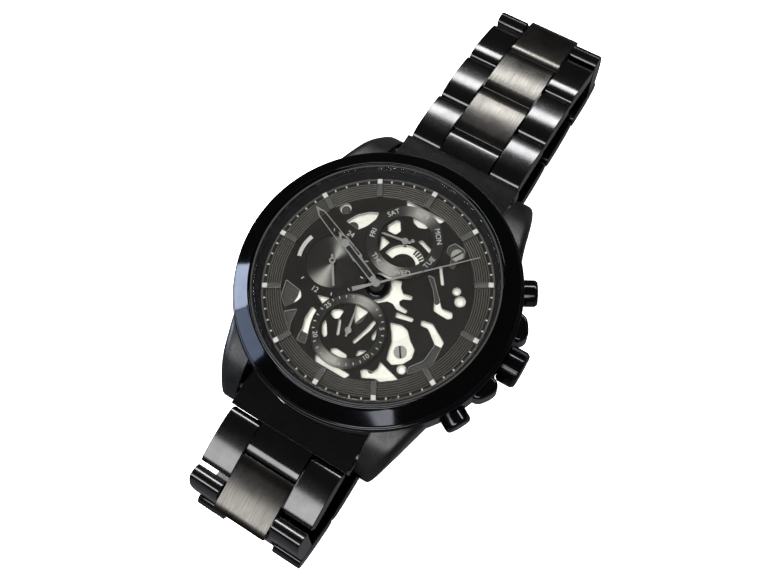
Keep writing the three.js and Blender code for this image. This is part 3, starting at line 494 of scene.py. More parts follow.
def circular(name, color, roughness=0.3, per_mm=9.0, depth=0.004, anisotropic=0.75, metallic=1.0, painted_cones=0.0):
    """Turned lines about the piece's own Z axis, with a painted highlight: a lighter colour in two cone-shaped patches
    along its Y axis.
    """
    look = Look(name).set(metallic=metallic, anisotropic=anisotropic)
    radius = look.radius()
    tangent = look.nodes.new("ShaderNodeTangent")
    tangent.direction_type = "RADIAL"
    tangent.axis = "Z"
    look.link(tangent.outputs[0], "Tangent")
    texture = look.nodes.new("ShaderNodeTexNoise")
    texture.noise_dimensions = "1D"
    texture.inputs["Scale"].default_value = per_mm
    texture.inputs["Detail"].default_value = 4
    look.links.new(radius, texture.inputs["W"])
    grain = texture.outputs["Fac"]
    darker = tuple(c * 0.6 for c in color)
    tone = look.blend(look.ramp(grain, 0, 1), darker, color)
    # painted highlight: a lighter colour added in two cone-shaped patches along Y, where turned lines would catch the
    # light
    if painted_cones > 0:
        painted_light = look.nodes.new("ShaderNodeMix")
        painted_light.data_type = "RGBA"
        painted_light.blend_type = "ADD"
        look.links.new(look.cone_share(), painted_light.inputs["Factor"])
        look.links.new(tone, painted_light.inputs["A"])
        painted_light.inputs["B"].default_value = (painted_cones, painted_cones * 0.96, painted_cones * 0.88, 1)
        tone = painted_light.outputs["Result"]
    look.link(tone, "Base Color")
    look.set(roughness=roughness)
    look.shader.inputs["Anisotropic Rotation"].default_value = 0.25
    look.bump(grain, depth, 0.7)
    return look.material


def satin(name, color, roughness=0.45, metallic=0.0, grain_mm=14.0, depth=0.003):
    look = Look(name).set(metallic=metallic)
    grain = look.noise(grain_mm, 3)
    cloud = look.noise(0.4, 3)
    darker = tuple(c * 0.75 for c in color)
    look.link(look.blend(look.ramp(cloud, 0, 1), darker, color), "Base Color")
    look.link(look.ramp(grain, roughness * 0.9, roughness * 1.15), "Roughness")
    look.bump(grain, depth, 0.6)
    return look.material


def glass_look():
    """Thin clear glass: what lies behind stays bright, and the surface mirrors the room faintly."""
    look = Look("sapphire_glass")
    tree_nodes, links = look.nodes, look.links
    output = tree_nodes["Material Output"]
    clear = tree_nodes.new("ShaderNodeBsdfTransparent")
    clear.inputs["Color"].default_value = (0.97, 0.98, 0.985, 1)
    mirror = tree_nodes.new("ShaderNodeBsdfGlossy")
    mirror.inputs["Color"].default_value = (0.9, 0.95, 1.0, 1)
    links.new(look.ramp(look.noise(0.5, 3), 0.012, 0.03), mirror.inputs["Roughness"])
    fresnel = tree_nodes.new("ShaderNodeFresnel")
    fresnel.inputs["IOR"].default_value = 1.45
    mix = tree_nodes.new("ShaderNodeMixShader")
    links.new(fresnel.outputs[0], mix.inputs["Fac"])
    links.new(clear.outputs[0], mix.inputs[1])
    links.new(mirror.outputs[0], mix.inputs[2])
    links.new(mix.outputs[0], output.inputs["Surface"])
    tree_nodes.remove(look.shader)
    return look.material


def dial_look():
    """Satin black lacquer with a very fine grain."""
    look = Look("dial_black").set(metallic=0.3)
    tone = look.ramp(look.noise(0.12, 2), 0, 1)
    look.link(look.blend(tone, (0.0125, 0.0112, 0.01), (0.016, 0.0145, 0.013)), "Base Color")
    look.link(look.ramp(look.noise(0.25, 3), 0.3, 0.42), "Roughness")
    look.bump(look.noise(12, 3), 0.002, 0.5)
    return look.material


def board_look():
    """Green circuit board with copper tracks."""
    look = Look("board_green").set(roughness=0.4)
    wave = look.nodes.new("ShaderNodeTexWave")
    wave.inputs["Scale"].default_value = 0.9
    wave.inputs["Distortion"].default_value = 3.0
    look.links.new(look.mm, wave.inputs["Vector"])
    share = look.ramp(wave.outputs["Fac"], 0, 1, 0.82, 0.88)
    look.link(look.blend(share, (0.02, 0.09, 0.035), (0.35, 0.24, 0.08)), "Base Color")
    look.bump(wave.outputs["Fac"], 0.02, 0.4)
    return look.material


def winding_look():
    """Enamelled copper wire, wound about X."""
    look = Look("copper_winding").set(metallic=1.0, roughness=0.3, color=(0.62, 0.27, 0.1))
    split = look.nodes.new("ShaderNodeSeparateXYZ")
    look.links.new(look.mm, split.inputs[0])
    look.bump(look.wave(split.outputs["X"], 7), 0.03, 0.8)
    return look.material


BLACK = polished("black_polished_steel", (0.075, 0.075, 0.082), 0.13)
BLACK_LINK = polished("black_link_steel", (0.14, 0.14, 0.142), 0.15)
BEZEL_BLACK = polished("black_bezel_steel", (0.06, 0.062, 0.07), 0.07)
BRUSHED = brushed("black_brushed_steel", (0.17, 0.163, 0.15), 0.2, depth=0.004)
BRUSHED_CASE = brushed("black_satin_case", (0.12, 0.12, 0.12), 0.4, stretch=(1, 0.05, 1), per_mm=6)
BACK_TURNED = circular("black_turned_back", (0.13, 0.13, 0.13), 0.33)
GLASS = glass_look()
GLASS_EDGE = polished("glass_edge", (0.05, 0.045, 0.04), 0.2, metallic=0.6)
RUBBER = satin("seal_rubber", (0.02, 0.02, 0.02), 0.8)
DIAL = dial_look()
GROOVE = polished("dial_groove", (0.09, 0.084, 0.075), 0.3, metallic=0.5)
# the 24-hour disc has a painted highlight in two cone-shaped patches
DISC = circular("dial_disc_black", (0.03, 0.028, 0.026), 0.45, anisotropic=1.0, metallic=0.5, painted_cones=0.3)
PRINT = satin("dial_print_white", (0.3, 0.3, 0.29), 0.5)
LUME = satin("lume_white", (0.36, 0.36, 0.35), 0.6)
SILVER = satin("silver_plate", (0.66, 0.64, 0.58), 0.34, metallic=0.25, grain_mm=5, depth=0.004)
SILVER_EDGE = polished("silver_edge", (0.42, 0.41, 0.38), 0.25, metallic=0.5)
SCREW_STEEL = brushed("screw_steel", (0.3, 0.295, 0.27), 0.35, per_mm=9, metallic=0.4)
NICKEL = brushed("grey_nickel_plate", (0.075, 0.075, 0.07), 0.45, stretch=(0.03, 1, 1), per_mm=8, metallic=0.5)
# the day and date rings have a painted highlight in two cone-shaped patches
RING_BLACK = circular("ring_black_steel", (0.045, 0.043, 0.04), 0.42, per_mm=12, depth=0.002, anisotropic=0.9,
                      metallic=0.6, painted_cones=0.3)
REHAUT = satin("rehaut_black", (0.03, 0.03, 0.032), 0.5, metallic=0.5)
MARKER = polished("marker_dark_steel", (0.12, 0.117, 0.112), 0.25, metallic=0.6)
HAND_SILVER = brushed("hand_steel", (0.3, 0.295, 0.28), 0.3, stretch=(1, 0.05, 1), per_mm=10, depth=0.003,
                      metallic=0.5)
HAND_BLACK = satin("hand_black", (0.012, 0.012, 0.012), 0.35)
BRASS = circular("wheel_brass", (0.74, 0.58, 0.3), 0.28)
PLASTIC = satin("holder_plastic", (0.03, 0.03, 0.033), 0.55)
BOARD = board_look()
COPPER = winding_look()


# ---------- case ----------
def smooth_curve(points, steps):
    """A Catmull-Rom curve through the points."""
    ends = [points[0]] + list(points) + [points[-1]]
    result = []
    for i in range(1, len(ends) - 2):
        a, b, c, d = (Vector(ends[k]) for k in (i - 1, i, i + 1, i + 2))
        for step in range(steps):
            t = step / steps
            result.append(((b * 2) + (c - a) * t + (a * 2 - b * 5 + c * 4 - d) * t * t
                           + (b * 3 - a - c * 3 + d) * t ** 3) / 2)
    result.append(Vector(points[-1]))
    return result


def lug():
    """One lug, in the quarter with +X and +Y: rounded sections between a top and a bottom line."""
    top = smooth_curve([(10, 0.45), (14, 0.45), (16.5, 0.4), (20.2, -0.95), (23.3, -3.7), (24.62, -5.9),
                        (24.45, -7.0)], 8)
    foot = smooth_curve([(10, -5.6), (13, -5.6), (16, -5.65), (19, -6.4), (21.5, -7.2), (23.4, -7.62),
                         (24.45, -7.0)], 8)
    outer = smooth_curve([(10, 17.6), (13, 16.7), (16.2, 15.75), (19.5, 14.85), (22.5, 13.9), (24.1, 13.1),
                          (24.7, 12.3)], 8)
    loops = []
    count = len(top)
    for i in range(count):
        (y_top, z_top), (y_foot, z_foot) = top[i], foot[i]
        y_mid = (y_top + y_foot) / 2
        x_outer = next((b.y + (a.y - b.y) * (b.x - y_mid) / max(b.x - a.x, EPS)
                        for a, b in zip(outer, outer[1:]) if b.x >= y_mid), outer[-1].y)
        thick = max(math.hypot(y_top - y_foot, z_top - z_foot), 0.02)
        outline = softened([(LUG_INNER_X, 0), (x_outer, 0), (x_outer, thick), (LUG_INNER_X, thick)],
                           [min(0.3, thick * 0.45), min(0.9, thick * 0.45), min(1.7, thick * 0.45),
                            min(0.35, thick * 0.45)], 6)
        loops.append([(x, y_foot + (y_top - y_foot) * w / thick, z_foot + (z_top - z_foot) * w / thick)
                      for x, w in outline])
    bm = skin(loops)
    for face in bm.faces:
        face.normal_update()
        if face.normal.z > 0.45:
            face.material_index = 1
    return bm


def crown_guard():
    plan = softened([(18.6, 3.1), (21.9, 3.1), (22.7, 4.2), (22.4, 5.4), (21.1, 7.2), (18.6, 7.2)], 0.9, 6)
    return eased(slab(plan, -4.9, -0.35), 0.5, 4, 40)


def every_corner(bm):
    right = together(bm, mirrored(bm, "Y"))
    return together(right, mirrored(right, "X"))


def case_middle():
    wall = turned(softened([(CASE_BORE_R, CASE_FOOT_Z), (20.4, CASE_FOOT_Z), (CASE_R, -4.5), (CASE_R, 0.55),
                            (CASE_R - 0.3, 0.85), (CASE_BORE_R, 0.85)], [0.1, 0.5, 0.6, 0.25, 0.2, 0.1]))
    guard = crown_guard()
    lugs = every_corner(lug())
    body = joined(wall, together(guard, mirrored(guard, "Y")), lugs)
    tools = [disc(CASE_BORE_R, -12, 6, segments=FINE), disc(BACK_R + 0.2, -12, CASE_FOOT_Z, segments=FINE)]
    body = cut(body, tools[0])
    body = cut(body, tools[1])
    holes = [rod_x(0.95, 15, 26, z=STEM_Z), rod_x(0.62, -12.3, 12.3, 22.3, -4.9), rod_x(0.62, -12.3, 12.3, -22.3, -4.9)]
    body = cut(body, *holes)
    body = cut(body, rod_x(high_mm("crown").y + 0.15, low_mm("crown").x - 0.4, 30, z=STEM_Z, segments=MEDIUM))
    for angle in (PUSHER_ANGLE, -PUSHER_ANGLE):
        body = cut(body, moved(rod_x(0.92, 15, 26, z=PUSHER_Z), turn=angle))
        seat = rod_x(PUSHER_CAP_R + 0.15, PUSHER_SEAT_X, 30, z=PUSHER_Z, segments=64)
        body = cut(body, moved(seat, turn=angle))
    piece("case_middle_fine", body, [BLACK, BRUSHED_CASE], "case", ["case_middle"])


def bezel():
    profile = softened([(18.35, 0.9), (BEZEL_R, 0.9), (BEZEL_R, 1.36), (20.98, 1.46), (20.98, 1.72), (18.9, 2.92),
                        (18.6, 3.12), (18.35, 3.02)], [0.05, 0.1, 0.09, 0.05, 0.14, 0.2, 0.15, 0.08])
    piece("bezel_fine", turned(profile), [BEZEL_BLACK], "case", ["bezel"])


def crystal():
    profile = softened([(0, 1.85), (GLASS_R, 1.85), (GLASS_R, 3.05), (GLASS_R - 0.3, 3.35), (0, 3.35)],
                       [0, 0.05, 0.08, 0.08, 0])
    glass = turned(profile)
    for face in glass.faces:
        face.normal_update()
        if abs(face.normal.z) < 0.6:
            face.material_index = 1
    piece("crystal_fine", glass, [GLASS, GLASS_EDGE], "case", ["crystal"])
    seal = softened([(GLASS_R + 0.06, 1.88), (18.28, 1.88), (18.28, 2.95), (GLASS_R + 0.06, 2.95)], 0.06)
    piece("crystal_gasket_fine", turned(seal), [RUBBER], "case", ["crystal_gasket"])


def rehaut():
    profile = softened([(TRACK_R + 0.05, 0.05), (18.3, 0.05), (18.3, 1.8), (17.85, 1.8)], [0.03, 0.03, 0.06, 0.06])
    piece("rehaut_fine", turned(profile), [REHAUT], "case", ["rehaut_ring"])


def case_back():
    outer = low_mm("case_back").z - DIAL_Z
    top = CASE_FOOT_Z - 0.02
    steps = [(0, outer + 0.12), (11.8, outer + 0.12), (12.0, outer), (12.6, outer), (12.8, outer + 0.12),
             (16.4, outer + 0.12), (16.6, outer), (BACK_R - 0.7, outer), (BACK_R, outer + 0.5), (BACK_R, top), (0, top)]
    plate = turned(softened(steps, [0, 0.05, 0.05, 0.05, 0.05, 0.05, 0.05, 0.3, 0.15, 0.1, 0]))
    notches = []
    for i in range(6):
        notch = slab(softened([(17.7, -1.1), (23, -1.1), (23, 1.1), (17.7, 1.1)], 0.5), outer - 1, outer + 0.45)
        notches.append(moved(notch, turn=60 * i + 30))
    piece("case_back_fine", cut(plate, *notches), [BACK_TURNED], "case", ["case_back"])


# ---------- dial ----------
# Openings of the dial plate, in millimetres from the axis of the hands.
OPENINGS = {
    "splat": [(1.9, 2.1), (2.8, 2.4), (3.1, 1.6), (3.9, 0.9), (5.3, 1.2), (5.5, 0.7), (4.3, 0.2), (4.0, -0.4),
              (4.4, -0.9), (5.8, -1.0), (5.8, -1.5), (4.3, -1.6), (3.4, -1.1), (2.5, -1.2), (1.5, -2.1),
              (0.7, -2.15), (1.7, -1.3), (2.15, -0.1), (1.9, 1.0), (1.4, 1.7)],
    "centre_arc": [(-1.0, 1.75), (-0.3, 2.15), (1.2, 2.4), (1.7, 2.05), (0.9, 1.85), (0.1, 1.8), (-0.6, 1.45)],
    "centre_nick": [(-1.75, 0.9), (-1.3, 1.45), (-1.1, 1.2), (-1.5, 0.6)],
    "kidney": [(4.6, -3.8), (6.2, -3.3), (7.3, -3.5), (8.4, -4.6), (9.7, -5.5), (10, -6.8), (9.3, -8.1),
               (8, -9), (7, -8.7), (6.6, -7.5), (6.3, -6.1), (5.5, -4.9)],
    "bar": [(4.6, -2.0), (7.2, -1.6), (7.3, -2.1), (4.8, -2.7)],
    "bracket": [(8.4, -1.25), (10, -0.9), (12.8, -2.5), (13, -6.2), (11.3, -8.4), (10.6, -9.0), (10.3, -8.1),
                (11.7, -6.2), (11.9, -3.4), (9.8, -1.8), (8.6, -1.9)],
    "wedge": [(6.4, -9.5), (9.9, -10.4), (7.8, -12.0), (7.1, -11.9), (5.3, -12.8), (4.6, -12.0), (5.1, -11.5),
              (6.3, -11.3), (6.6, -10.5)],
    "arm": [(5.7, 5.2), (6.5, 5.3), (9.5, 2.2), (10, 1.75), (11.6, 1.95), (12, 1.3), (11.5, 0.8), (9.9, 0.85),
            (9.1, 0.95), (8.4, 2.4), (7.5, 3.6)],
    "slip": [(6.35, 7.25), (6.7, 7.35), (8.45, 5.0), (8.05, 4.85)],
    "leaf": [(-9.5, 6.5), (-8.6, 8.2), (-7.2, 9.5), (-5.9, 10.1), (-5.8, 9.0), (-6.4, 7.4), (-7.2, 6.3)],
    "shard": [(-6.6, -7.5), (-5.8, -7.6), (-5.6, -9.5), (-4.5, -12.7), (-5.9, -12.8), (-6.1, -10.9), (-6.6, -9.4)],
    "fin": [(-12.3, -5.9), (-9.5, -6.3), (-8.9, -7.0), (-9.1, -7.9), (-10.2, -9.4), (-11.5, -8.4)],
    "sail": [(-9.9, -10.2), (-8.4, -8.9), (-8.1, -11.2), (-7.6, -12.2)],
    "nick": [(-6.9, -5.6), (-5.1, -5.1), (-5.4, -6.4)],
    "top_slot": [(-3.2, 13.9), (3.4, 13.9), (3.0, 13.2), (-2.8, 13.2)],
    "foot_slot": [(-2.2, -13.3), (3.6, -13.3), (3.2, -14.1), (-1.8, -14.1)],
    "screw_lug": [(6, 10.6), (6.6, 11.5), (8.3, 11.3), (8.9, 10.3), (8.1, 9.2), (8.4, 7.9), (7.7, 7.9),
                  (7.3, 9.3), (6.2, 9.7)],
    "day_lens": [(-1.0, 12.0), (-0.5, 11.35), (0.5, 11.0), (1.5, 11.35), (2.0, 12.0), (0.5, 12.05)],
    "day_left": [(-3.6, 9.0), (-3.0, 10.3), (-2.4, 10.5), (-1.5, 9.2), (-1.9, 8.35), (-3.2, 8.3)],
    "day_foot": [(-3.5, 7.05), (-2.0, 6.8), (-2.6, 4.95)],
    "day_spoke": [(-3.6, 7.45), (-0.7, 7.95), (-0.6, 8.15), (-3.6, 7.75)],
    "day_bar": [(1.7, 9.0), (2.1, 9.5), (4.7, 8.6), (4.6, 8.1), (2.4, 8.85)],
    "day_bit": [(0.75, 9.0), (1.2, 8.75), (0.9, 8.45), (0.55, 8.6)],
    "date_top": [(-1.1, -4.0), (0.9, -4.0), (0.85, -5.7), (0.35, -6.5), (-0.2, -5.9), (-0.9, -4.8)],
    "date_left": [(-3.7, -6.4), (-2.9, -5.8), (-2.25, -5.7), (-2.25, -7.0), (-2.8, -7.35), (-3.6, -7.0)],
    "date_thin": [(-2.15, -7.1), (-1.85, -7.05), (-0.9, -9.1), (-1.2, -9.3)],
    "date_bar": [(2.35, -4.75), (2.8, -4.75), (2.65, -6.2), (1.75, -9.1), (1.35, -8.95), (2.05, -6.5)],
    "date_right": [(3.5, -5.4), (3.95, -5.9), (4.0, -7.0), (3.75, -7.4), (3.35, -6.9)],
    "date_low_left": [(-3.85, -8.2), (-3.4, -8.6), (-2.4, -10.0), (-2.6, -10.5), (-3.2, -10.1), (-3.85, -9.0)],
    "date_foot": [(-0.8, -11.5), (-0.2, -11.0), (1.6, -11.05), (1.9, -11.55), (0.9, -11.85), (-0.5, -11.85)],
    "date_low_right": [(2.8, -9.7), (3.85, -9.1), (3.95, -9.5), (3.5, -10.3), (2.9, -10.5)],
}
DAY_ARC = ((1.6, 4.55), 2.65, 1.35)            # centre, middle radius and width of the toothed arc
PEEP_HOLES = [(10.55, 5.1, 0.6), (11.75, 4.0, 0.8), (-10.7, 8.2, 0.85), (9.6, -8.9, 0.68)]
EDGE_CHAMFER = 0.06
GROOVE_PITCH = 0.34
GROOVE_DEPTH = 0.05


def arc_strip(radius, width, start, end, steps=16):
    outside = arc((0, 0), radius + width / 2, start, end, steps)
    return outside + arc((0, 0), radius - width / 2, end, start, steps)


def opening(points, soft=0.28):
    """A cutter with a small flare where it meets the dial face; its walls are bright machined metal."""
    outline = softened(points, soft, 4)
    if area(outline) < 0:
        outline.reverse()
    wide = widened(outline, EDGE_CHAMFER)
    loops = [[(x, y, -2) for x, y in outline], [(x, y, -EDGE_CHAMFER) for x, y in outline],
             [(x, y, 0) for x, y in wide], [(x, y, 1) for x, y in wide]]
    return skin(loops, material=1)


def at(points, x, y):
    return [(px + x, py + y) for px, py in points]


def dial_plate():
    groove_from, groove_to = 14.5, 16.55
    profile = [(0, -0.45), (DIAL_R, -0.45), (DIAL_R, 0), (groove_to + 0.1, 0)]
    radius = groove_to
    while radius > groove_from:
        profile += [(radius, 0), (radius - GROOVE_PITCH / 2, -GROOVE_DEPTH)]
        radius -= GROOVE_PITCH
    profile += [(radius, 0), (0, 0)]
    plate = turned(profile, 360)
    cutters = [opening(points, 0.22) for points in OPENINGS.values()]
    cutters += [opening(arc((x, y), r, 0, 345, 23), 0) for x, y, r in PEEP_HOLES]
    centre, radius, width = DAY_ARC
    cutters.append(opening(at(arc_strip(radius, width, 25, 170), *centre), 0.1))
    cutters += [disc(0.5, -2, 1, 0, DAY_Y), disc(0.5, -2, 1, 0, DATE_Y), disc(1.0, -2, 1)]
    for cutter in cutters:
        plate = cut(plate, cutter)
    plate = cut(plate, disc(RING_INNER_R, -0.2, 1, HOURS_24_X, 0, MEDIUM))
    plate = cut(plate, disc(0.5, -2, 1, HOURS_24_X, 0))
    for face in plate.faces:
        face.normal_update()
        middle = face.calc_center_median()
        outwards = middle.x * face.normal.x + middle.y * face.normal.y
        if face.material_index == 0 and 0.5 < face.normal.z < 0.995 and outwards < 0:
            face.material_index = 2
    piece("dial_fine", plate, [DIAL, SILVER_EDGE, GROOVE], "case", ["dial_plate"], sharp=8)


def disc_24h():
    """The turned disc at the bottom of the 24-hour recess."""
    profile = softened([(0.5, -0.19), (RING_INNER_R - 0.02, -0.19), (RING_INNER_R - 0.02, -0.13), (0.5, -0.13)],
                       [0, 0.02, 0.02, 0])
    place = HEAD @ Matrix.Translation((HOURS_24_X, 0, 0))
    piece("disc_24h", turned(profile, MEDIUM), [DISC], "case", place=place)


# Greyer layers on the plate below the dial, and its pegs: x, y, radius and material index.
GREY_LAYERS = [
    [(-13.5, -4.6), (-10.2, -5.3), (-9.6, -6.9), (-9.6, -8.9), (-11.2, -10.2), (-13.6, -8.2)],
    [(-10.8, -10.0), (-8.6, -7.9), (-7.4, -9.5), (-7.0, -12.4), (-8.8, -12.8)],
    [(-6.8, -11.2), (-4.9, -11.2), (-3.9, -13.4), (-6.6, -13.6)],
    [(11.3, -3.3), (13.6, -3.1), (13.8, -7.4), (11.4, -9.6), (9.9, -9.6), (9.9, -8.0), (11.2, -6.9)],
    [(5.2, 5.9), (6.9, 5.9), (9.3, 3.5), (9.0, 1.9), (7.9, 2.4), (6.8, 3.6)],
    [(5.3, 10.9), (6.4, 12.1), (8.6, 12.0), (9.5, 10.2), (8.9, 7.3), (7.2, 7.3), (6.9, 8.9), (5.6, 9.3)],
    [(0.9, -3.7), (-0.1, -6.7), (1.4, -6.7)],
]
PEGS = [(10.55, 5.1, 0.42, 0), (11.75, 4.0, 0.6, 0), (-10.7, 8.2, 0.7, 1), (-8.3, 6.4, 0.8, 1), (9.6, -8.9, 0.55, 0),
        (5.75, -11.1, 0.5, 1), (-9.0, -6.4, 0.3, 0)]


def centre_boss():
    """The black collar round the hands' tubes."""
    profile = softened([(1.02, 0.02), (1.75, 0.02), (1.75, 0.3), (1.5, 0.42), (1.02, 0.42)],
                       [0, 0.02, 0.06, 0.08, 0.04])
    piece("centre_boss", turned(profile, MEDIUM), [BEZEL_BLACK], "case")


def open_bridge():
    top = high_mm("open_bridge").z - DIAL_Z
    profile = [(1.0, top - 0.5), (15.3, top - 0.5), (15.3, top)]
    for groove in (13.6, 11.2, 8.6, 5.2):
        profile += [(groove + 0.12, top), (groove, top - 0.06), (groove - 0.12, top)]
    profile.append((1.0, top))
    plate = turned(profile)
    for outline in GREY_LAYERS:
        plate = joined(plate, slab(softened(outline, 0.5), top - 0.3, top + 0.14, 1))
    pegs = []
    for x, y, radius, look in PEGS:
        peg = turned(softened([(0, -0.3), (radius, -0.3), (radius, 0.28), (0, 0.42)], [0, 0, 0.2, 0]), SMALL, look)
        pegs.append(moved(peg, x, y, top))
    plate = joined(plate, *pegs)
    teeth = []
    centre, radius, width = DAY_ARC
    for i in range(6):
        tooth = block(-0.13, 0.13, radius - 0.1, radius + 0.75, top - 0.2, top + 0.2, 1)
        teeth.append(moved(tooth, *centre, turn=-8 - 9 * i))
    plate = joined(plate, together(*teeth))
    holes = [disc(0.55, -3, 0, x, y) for x, y in ((0, DAY_Y), (0, DATE_Y), (HOURS_24_X, 0))]
    holes += [disc(0.5, -3, 0, 7.7, 10.2), disc(0.5, -3, 0, 8.0, -6.7)]
    plate = cut(plate, *holes)
    piece("open_bridge_fine", plate, [SILVER, NICKEL], "case", ["open_bridge"])


def dial_screw(name, node, turn):
    centre = (low_mm(node) + high_mm(node)) / 2
    head = turned(softened([(0, -0.72), (0.95, -0.72), (0.95, -0.42), (0, -0.42)], [0, 0.04, 0.08, 0]), SMALL)
    shank = disc(0.4, -1.9, -0.6)
    # the slot's walls and floor take the second look, near-black: painted shade in the slot
    screw = cut(joined(head, shank), block(-1.2, 1.2, -0.14, 0.14, -0.62, 0, 1))
    place = HEAD @ Matrix.Translation((centre.x, centre.y, 0)) @ Matrix.Rotation(math.radians(turn), 4, "Z")
    piece(name, screw, [SCREW_STEEL, HAND_BLACK], "case", [node], place)


def hour_markers():
    carrier = turned([(16.98, 0.03), (TRACK_R - 0.02, 0.03), (TRACK_R - 0.02, 0.1), (16.98, 0.1)])
    batons = []
    lumes = []
    for hour in range(12):
        bar = eased(block(-0.45, 0.45, 14.2, 16.25, 0.03, 0.5), 0.12, 2)
        batons.append(moved(bar, turn=-30 * hour))
        foot = eased(block(-0.47, 0.47, 16.2, 17.15, 0.03, 0.52), 0.06, 2)
        batons.append(moved(foot, turn=-30 * hour))
        lume = eased(block(-0.36, 0.36, 16.3, 17.08, 0.4, 0.6), 0.07, 2)
        lumes.append(moved(lume, turn=-30 * hour))
    solid = joined(carrier, *batons)
    piece("hour_markers_fine", solid, [MARKER], "case", ["hour_markers"])
    piece("marker_lume", together(*lumes), [LUME], "case")


def lettering(text, size, height=0.03):
    """Raised letters centred on the origin, readable from +Z."""
    curve = bpy.data.curves.new("lettering", "FONT")
    curve.body = text
    curve.size = size
    curve.align_x = "CENTER"
    curve.align_y = "CENTER"
    curve.extrude = height / 2
    curve.resolution_u = 3
    thing = bpy.data.objects.new("lettering", curve)
    bpy.context.scene.collection.objects.link(thing)
    graph = bpy.context.evaluated_depsgraph_get()
    mesh = bpy.data.meshes.new_from_object(thing.evaluated_get(graph))
    bm = bmesh.new()
    bm.from_mesh(mesh)
    bpy.data.objects.remove(thing)
    bpy.data.meshes.remove(mesh)
    for face in bm.faces:
        face.material_index = 0
    return bm


def around(bm, radius, clockwise, upright=False, z=0.0):
    """Places a mark at a clock angle, its top outwards, or inwards where it is upright at the bottom."""
    turn = 180 - clockwise if upright else -clockwise
    angle = math.radians(clockwise)
    return moved(bm, radius * math.sin(angle), radius * math.cos(angle), z, turn)


PRINT_Z = 0.012


def dial_print():
    marks = []
    for minute in range(60):
        if minute % 5:
            tick = block(-0.11, 0.11, -0.3, 0.3, -0.01, 0.01)
            marks.append(around(tick, 16.95, 6 * minute, z=PRINT_Z))
    for mark, angle, upright in (("24", 0, False), ("12", 180, True)):
        text = around(lettering(mark, 1.15, 0.02), 5.0, angle, upright, PRINT_Z)
        marks.append(moved(text, HOURS_24_X))
    for angle in (60, 90, 120, 150, 210, 330):
        tick = around(block(-0.07, 0.07, -0.24, 0.24, -0.01, 0.01), 5.1, angle, z=PRINT_Z)
        marks.append(moved(tick, HOURS_24_X))
    accent = slab(arc_strip(5.2, 0.62, 160, 200), PRINT_Z - 0.01, PRINT_Z + 0.01)
    marks.append(moved(accent, HOURS_24_X))
    piece("dial_print", together(*marks), [PRINT], "case")


def day_ring():
    profile = softened([(RING_INNER_R, 0.03), (DAY_RING_R, 0.03), (DAY_RING_R, 0.2), (RING_INNER_R, 0.34)],
                       [0.02, 0.02, 0.04, 0.06])
    place = HEAD @ Matrix.Translation((0, DAY_Y, 0))
    piece("day_ring_fine", turned(profile, 160), [RING_BLACK], "case", ["day_ring"], place)
    marks = []
    for i, day in enumerate(("SUN", "MON", "TUE", "WED", "THU", "FRI", "SAT")):
        clockwise = i * 360 / 7
        upright = 80 < clockwise < 280 and day != "FRI"
        marks.append(around(lettering(day, 1.12, 0.03), 4.97, clockwise, upright, 0.285))
    piece("day_print", together(*marks), [PRINT], "case", place=place)


def date_ring():
    profile = softened([(RING_INNER_R, 0.03), (DATE_RING_R, 0.03), (DATE_RING_R, 0.3), (5.4, 0.6), (4.3, 0.6),
                        (RING_INNER_R, 0.4)], [0.02, 0.02, 0.06, 0.08, 0.08, 0.06])
    place = HEAD @ Matrix.Translation((0, DATE_Y, 0))
    piece("date_ring_fine", turned(profile, 160), [RING_BLACK], "case", ["date_ring"], place)
    marks = []
    for day in range(1, 32):
        clockwise = day * 360 / 31
        if day % 5 == 0 and day < 30:
            upright = 90 < clockwise < 270
            marks.append(around(lettering(str(day), 1.0, 0.03), 4.86, clockwise, upright, 0.615))
        else:
            tick = block(-0.06, 0.06, -0.2, 0.2, -0.015, 0.015)
            marks.append(around(tick, 5.1, clockwise, z=0.615))
    piece("date_print", together(*marks), [PRINT], "case", place=place)


# ---------- hands: each points to +Y before it is turned ----------
def hand_place(node, joint):
    at_pivot = pivot_mm(joint)
    return HEAD @ Matrix.Translation((at_pivot.x, at_pivot.y, 0)) @ Matrix.Rotation(
        -math.radians(HAND_ANGLES[node]), 4, "Z")


def sword_hand(name, node, joint, length, neck, base_half, frame_half, hub_r, hole_r, z0, z1):
    """A dark base with bright edges, then an open frame that ends in a point."""
    shoulder = length - 1.6
    tip_half = frame_half * 0.8
    rim = 0.16
    outline = [(-base_half, 0), (base_half, 0), (base_half, neck), (frame_half, neck + 0.3), (tip_half, shoulder),
               (0, length), (-tip_half, shoulder), (-frame_half, neck + 0.3), (-base_half, neck)]
    blade = slab(outline, z0, z1)
    base_slot = block(-base_half + rim, base_half - rim, hub_r + 0.35, neck - 0.35, z0 - 1, z1 + 1)
    frame_slot = slab([(-frame_half + rim, neck + 0.6), (frame_half - rim, neck + 0.6), (tip_half - rim, shoulder),
                       (0, shoulder + 0.75), (-tip_half + rim, shoulder)], z0 - 1, z1 + 1)
    blade = eased(cut(blade, base_slot, frame_slot), 0.035, 2)
    hub = turned(softened([(hole_r, z0), (hub_r, z0), (hub_r, z1), (hole_r, z1)], [0, 0.03, 0.05, 0.02]), 64)
    for face in hub.faces:
        face.material_index = 1
    solid = cut(joined(blade, hub), disc(hole_r, z0 - 1, z1 + 1))
    infill = block(-base_half + rim + 0.01, base_half - rim - 0.01, hub_r + 0.36, neck - 0.36, z0 + 0.02, z1 - 0.06)
    place = hand_place(node, joint)
    piece(name, solid, [HAND_SILVER, HAND_BLACK], node, [node], place)
    piece(name.replace("fine", "infill"), infill, [HAND_BLACK], node, place=place)


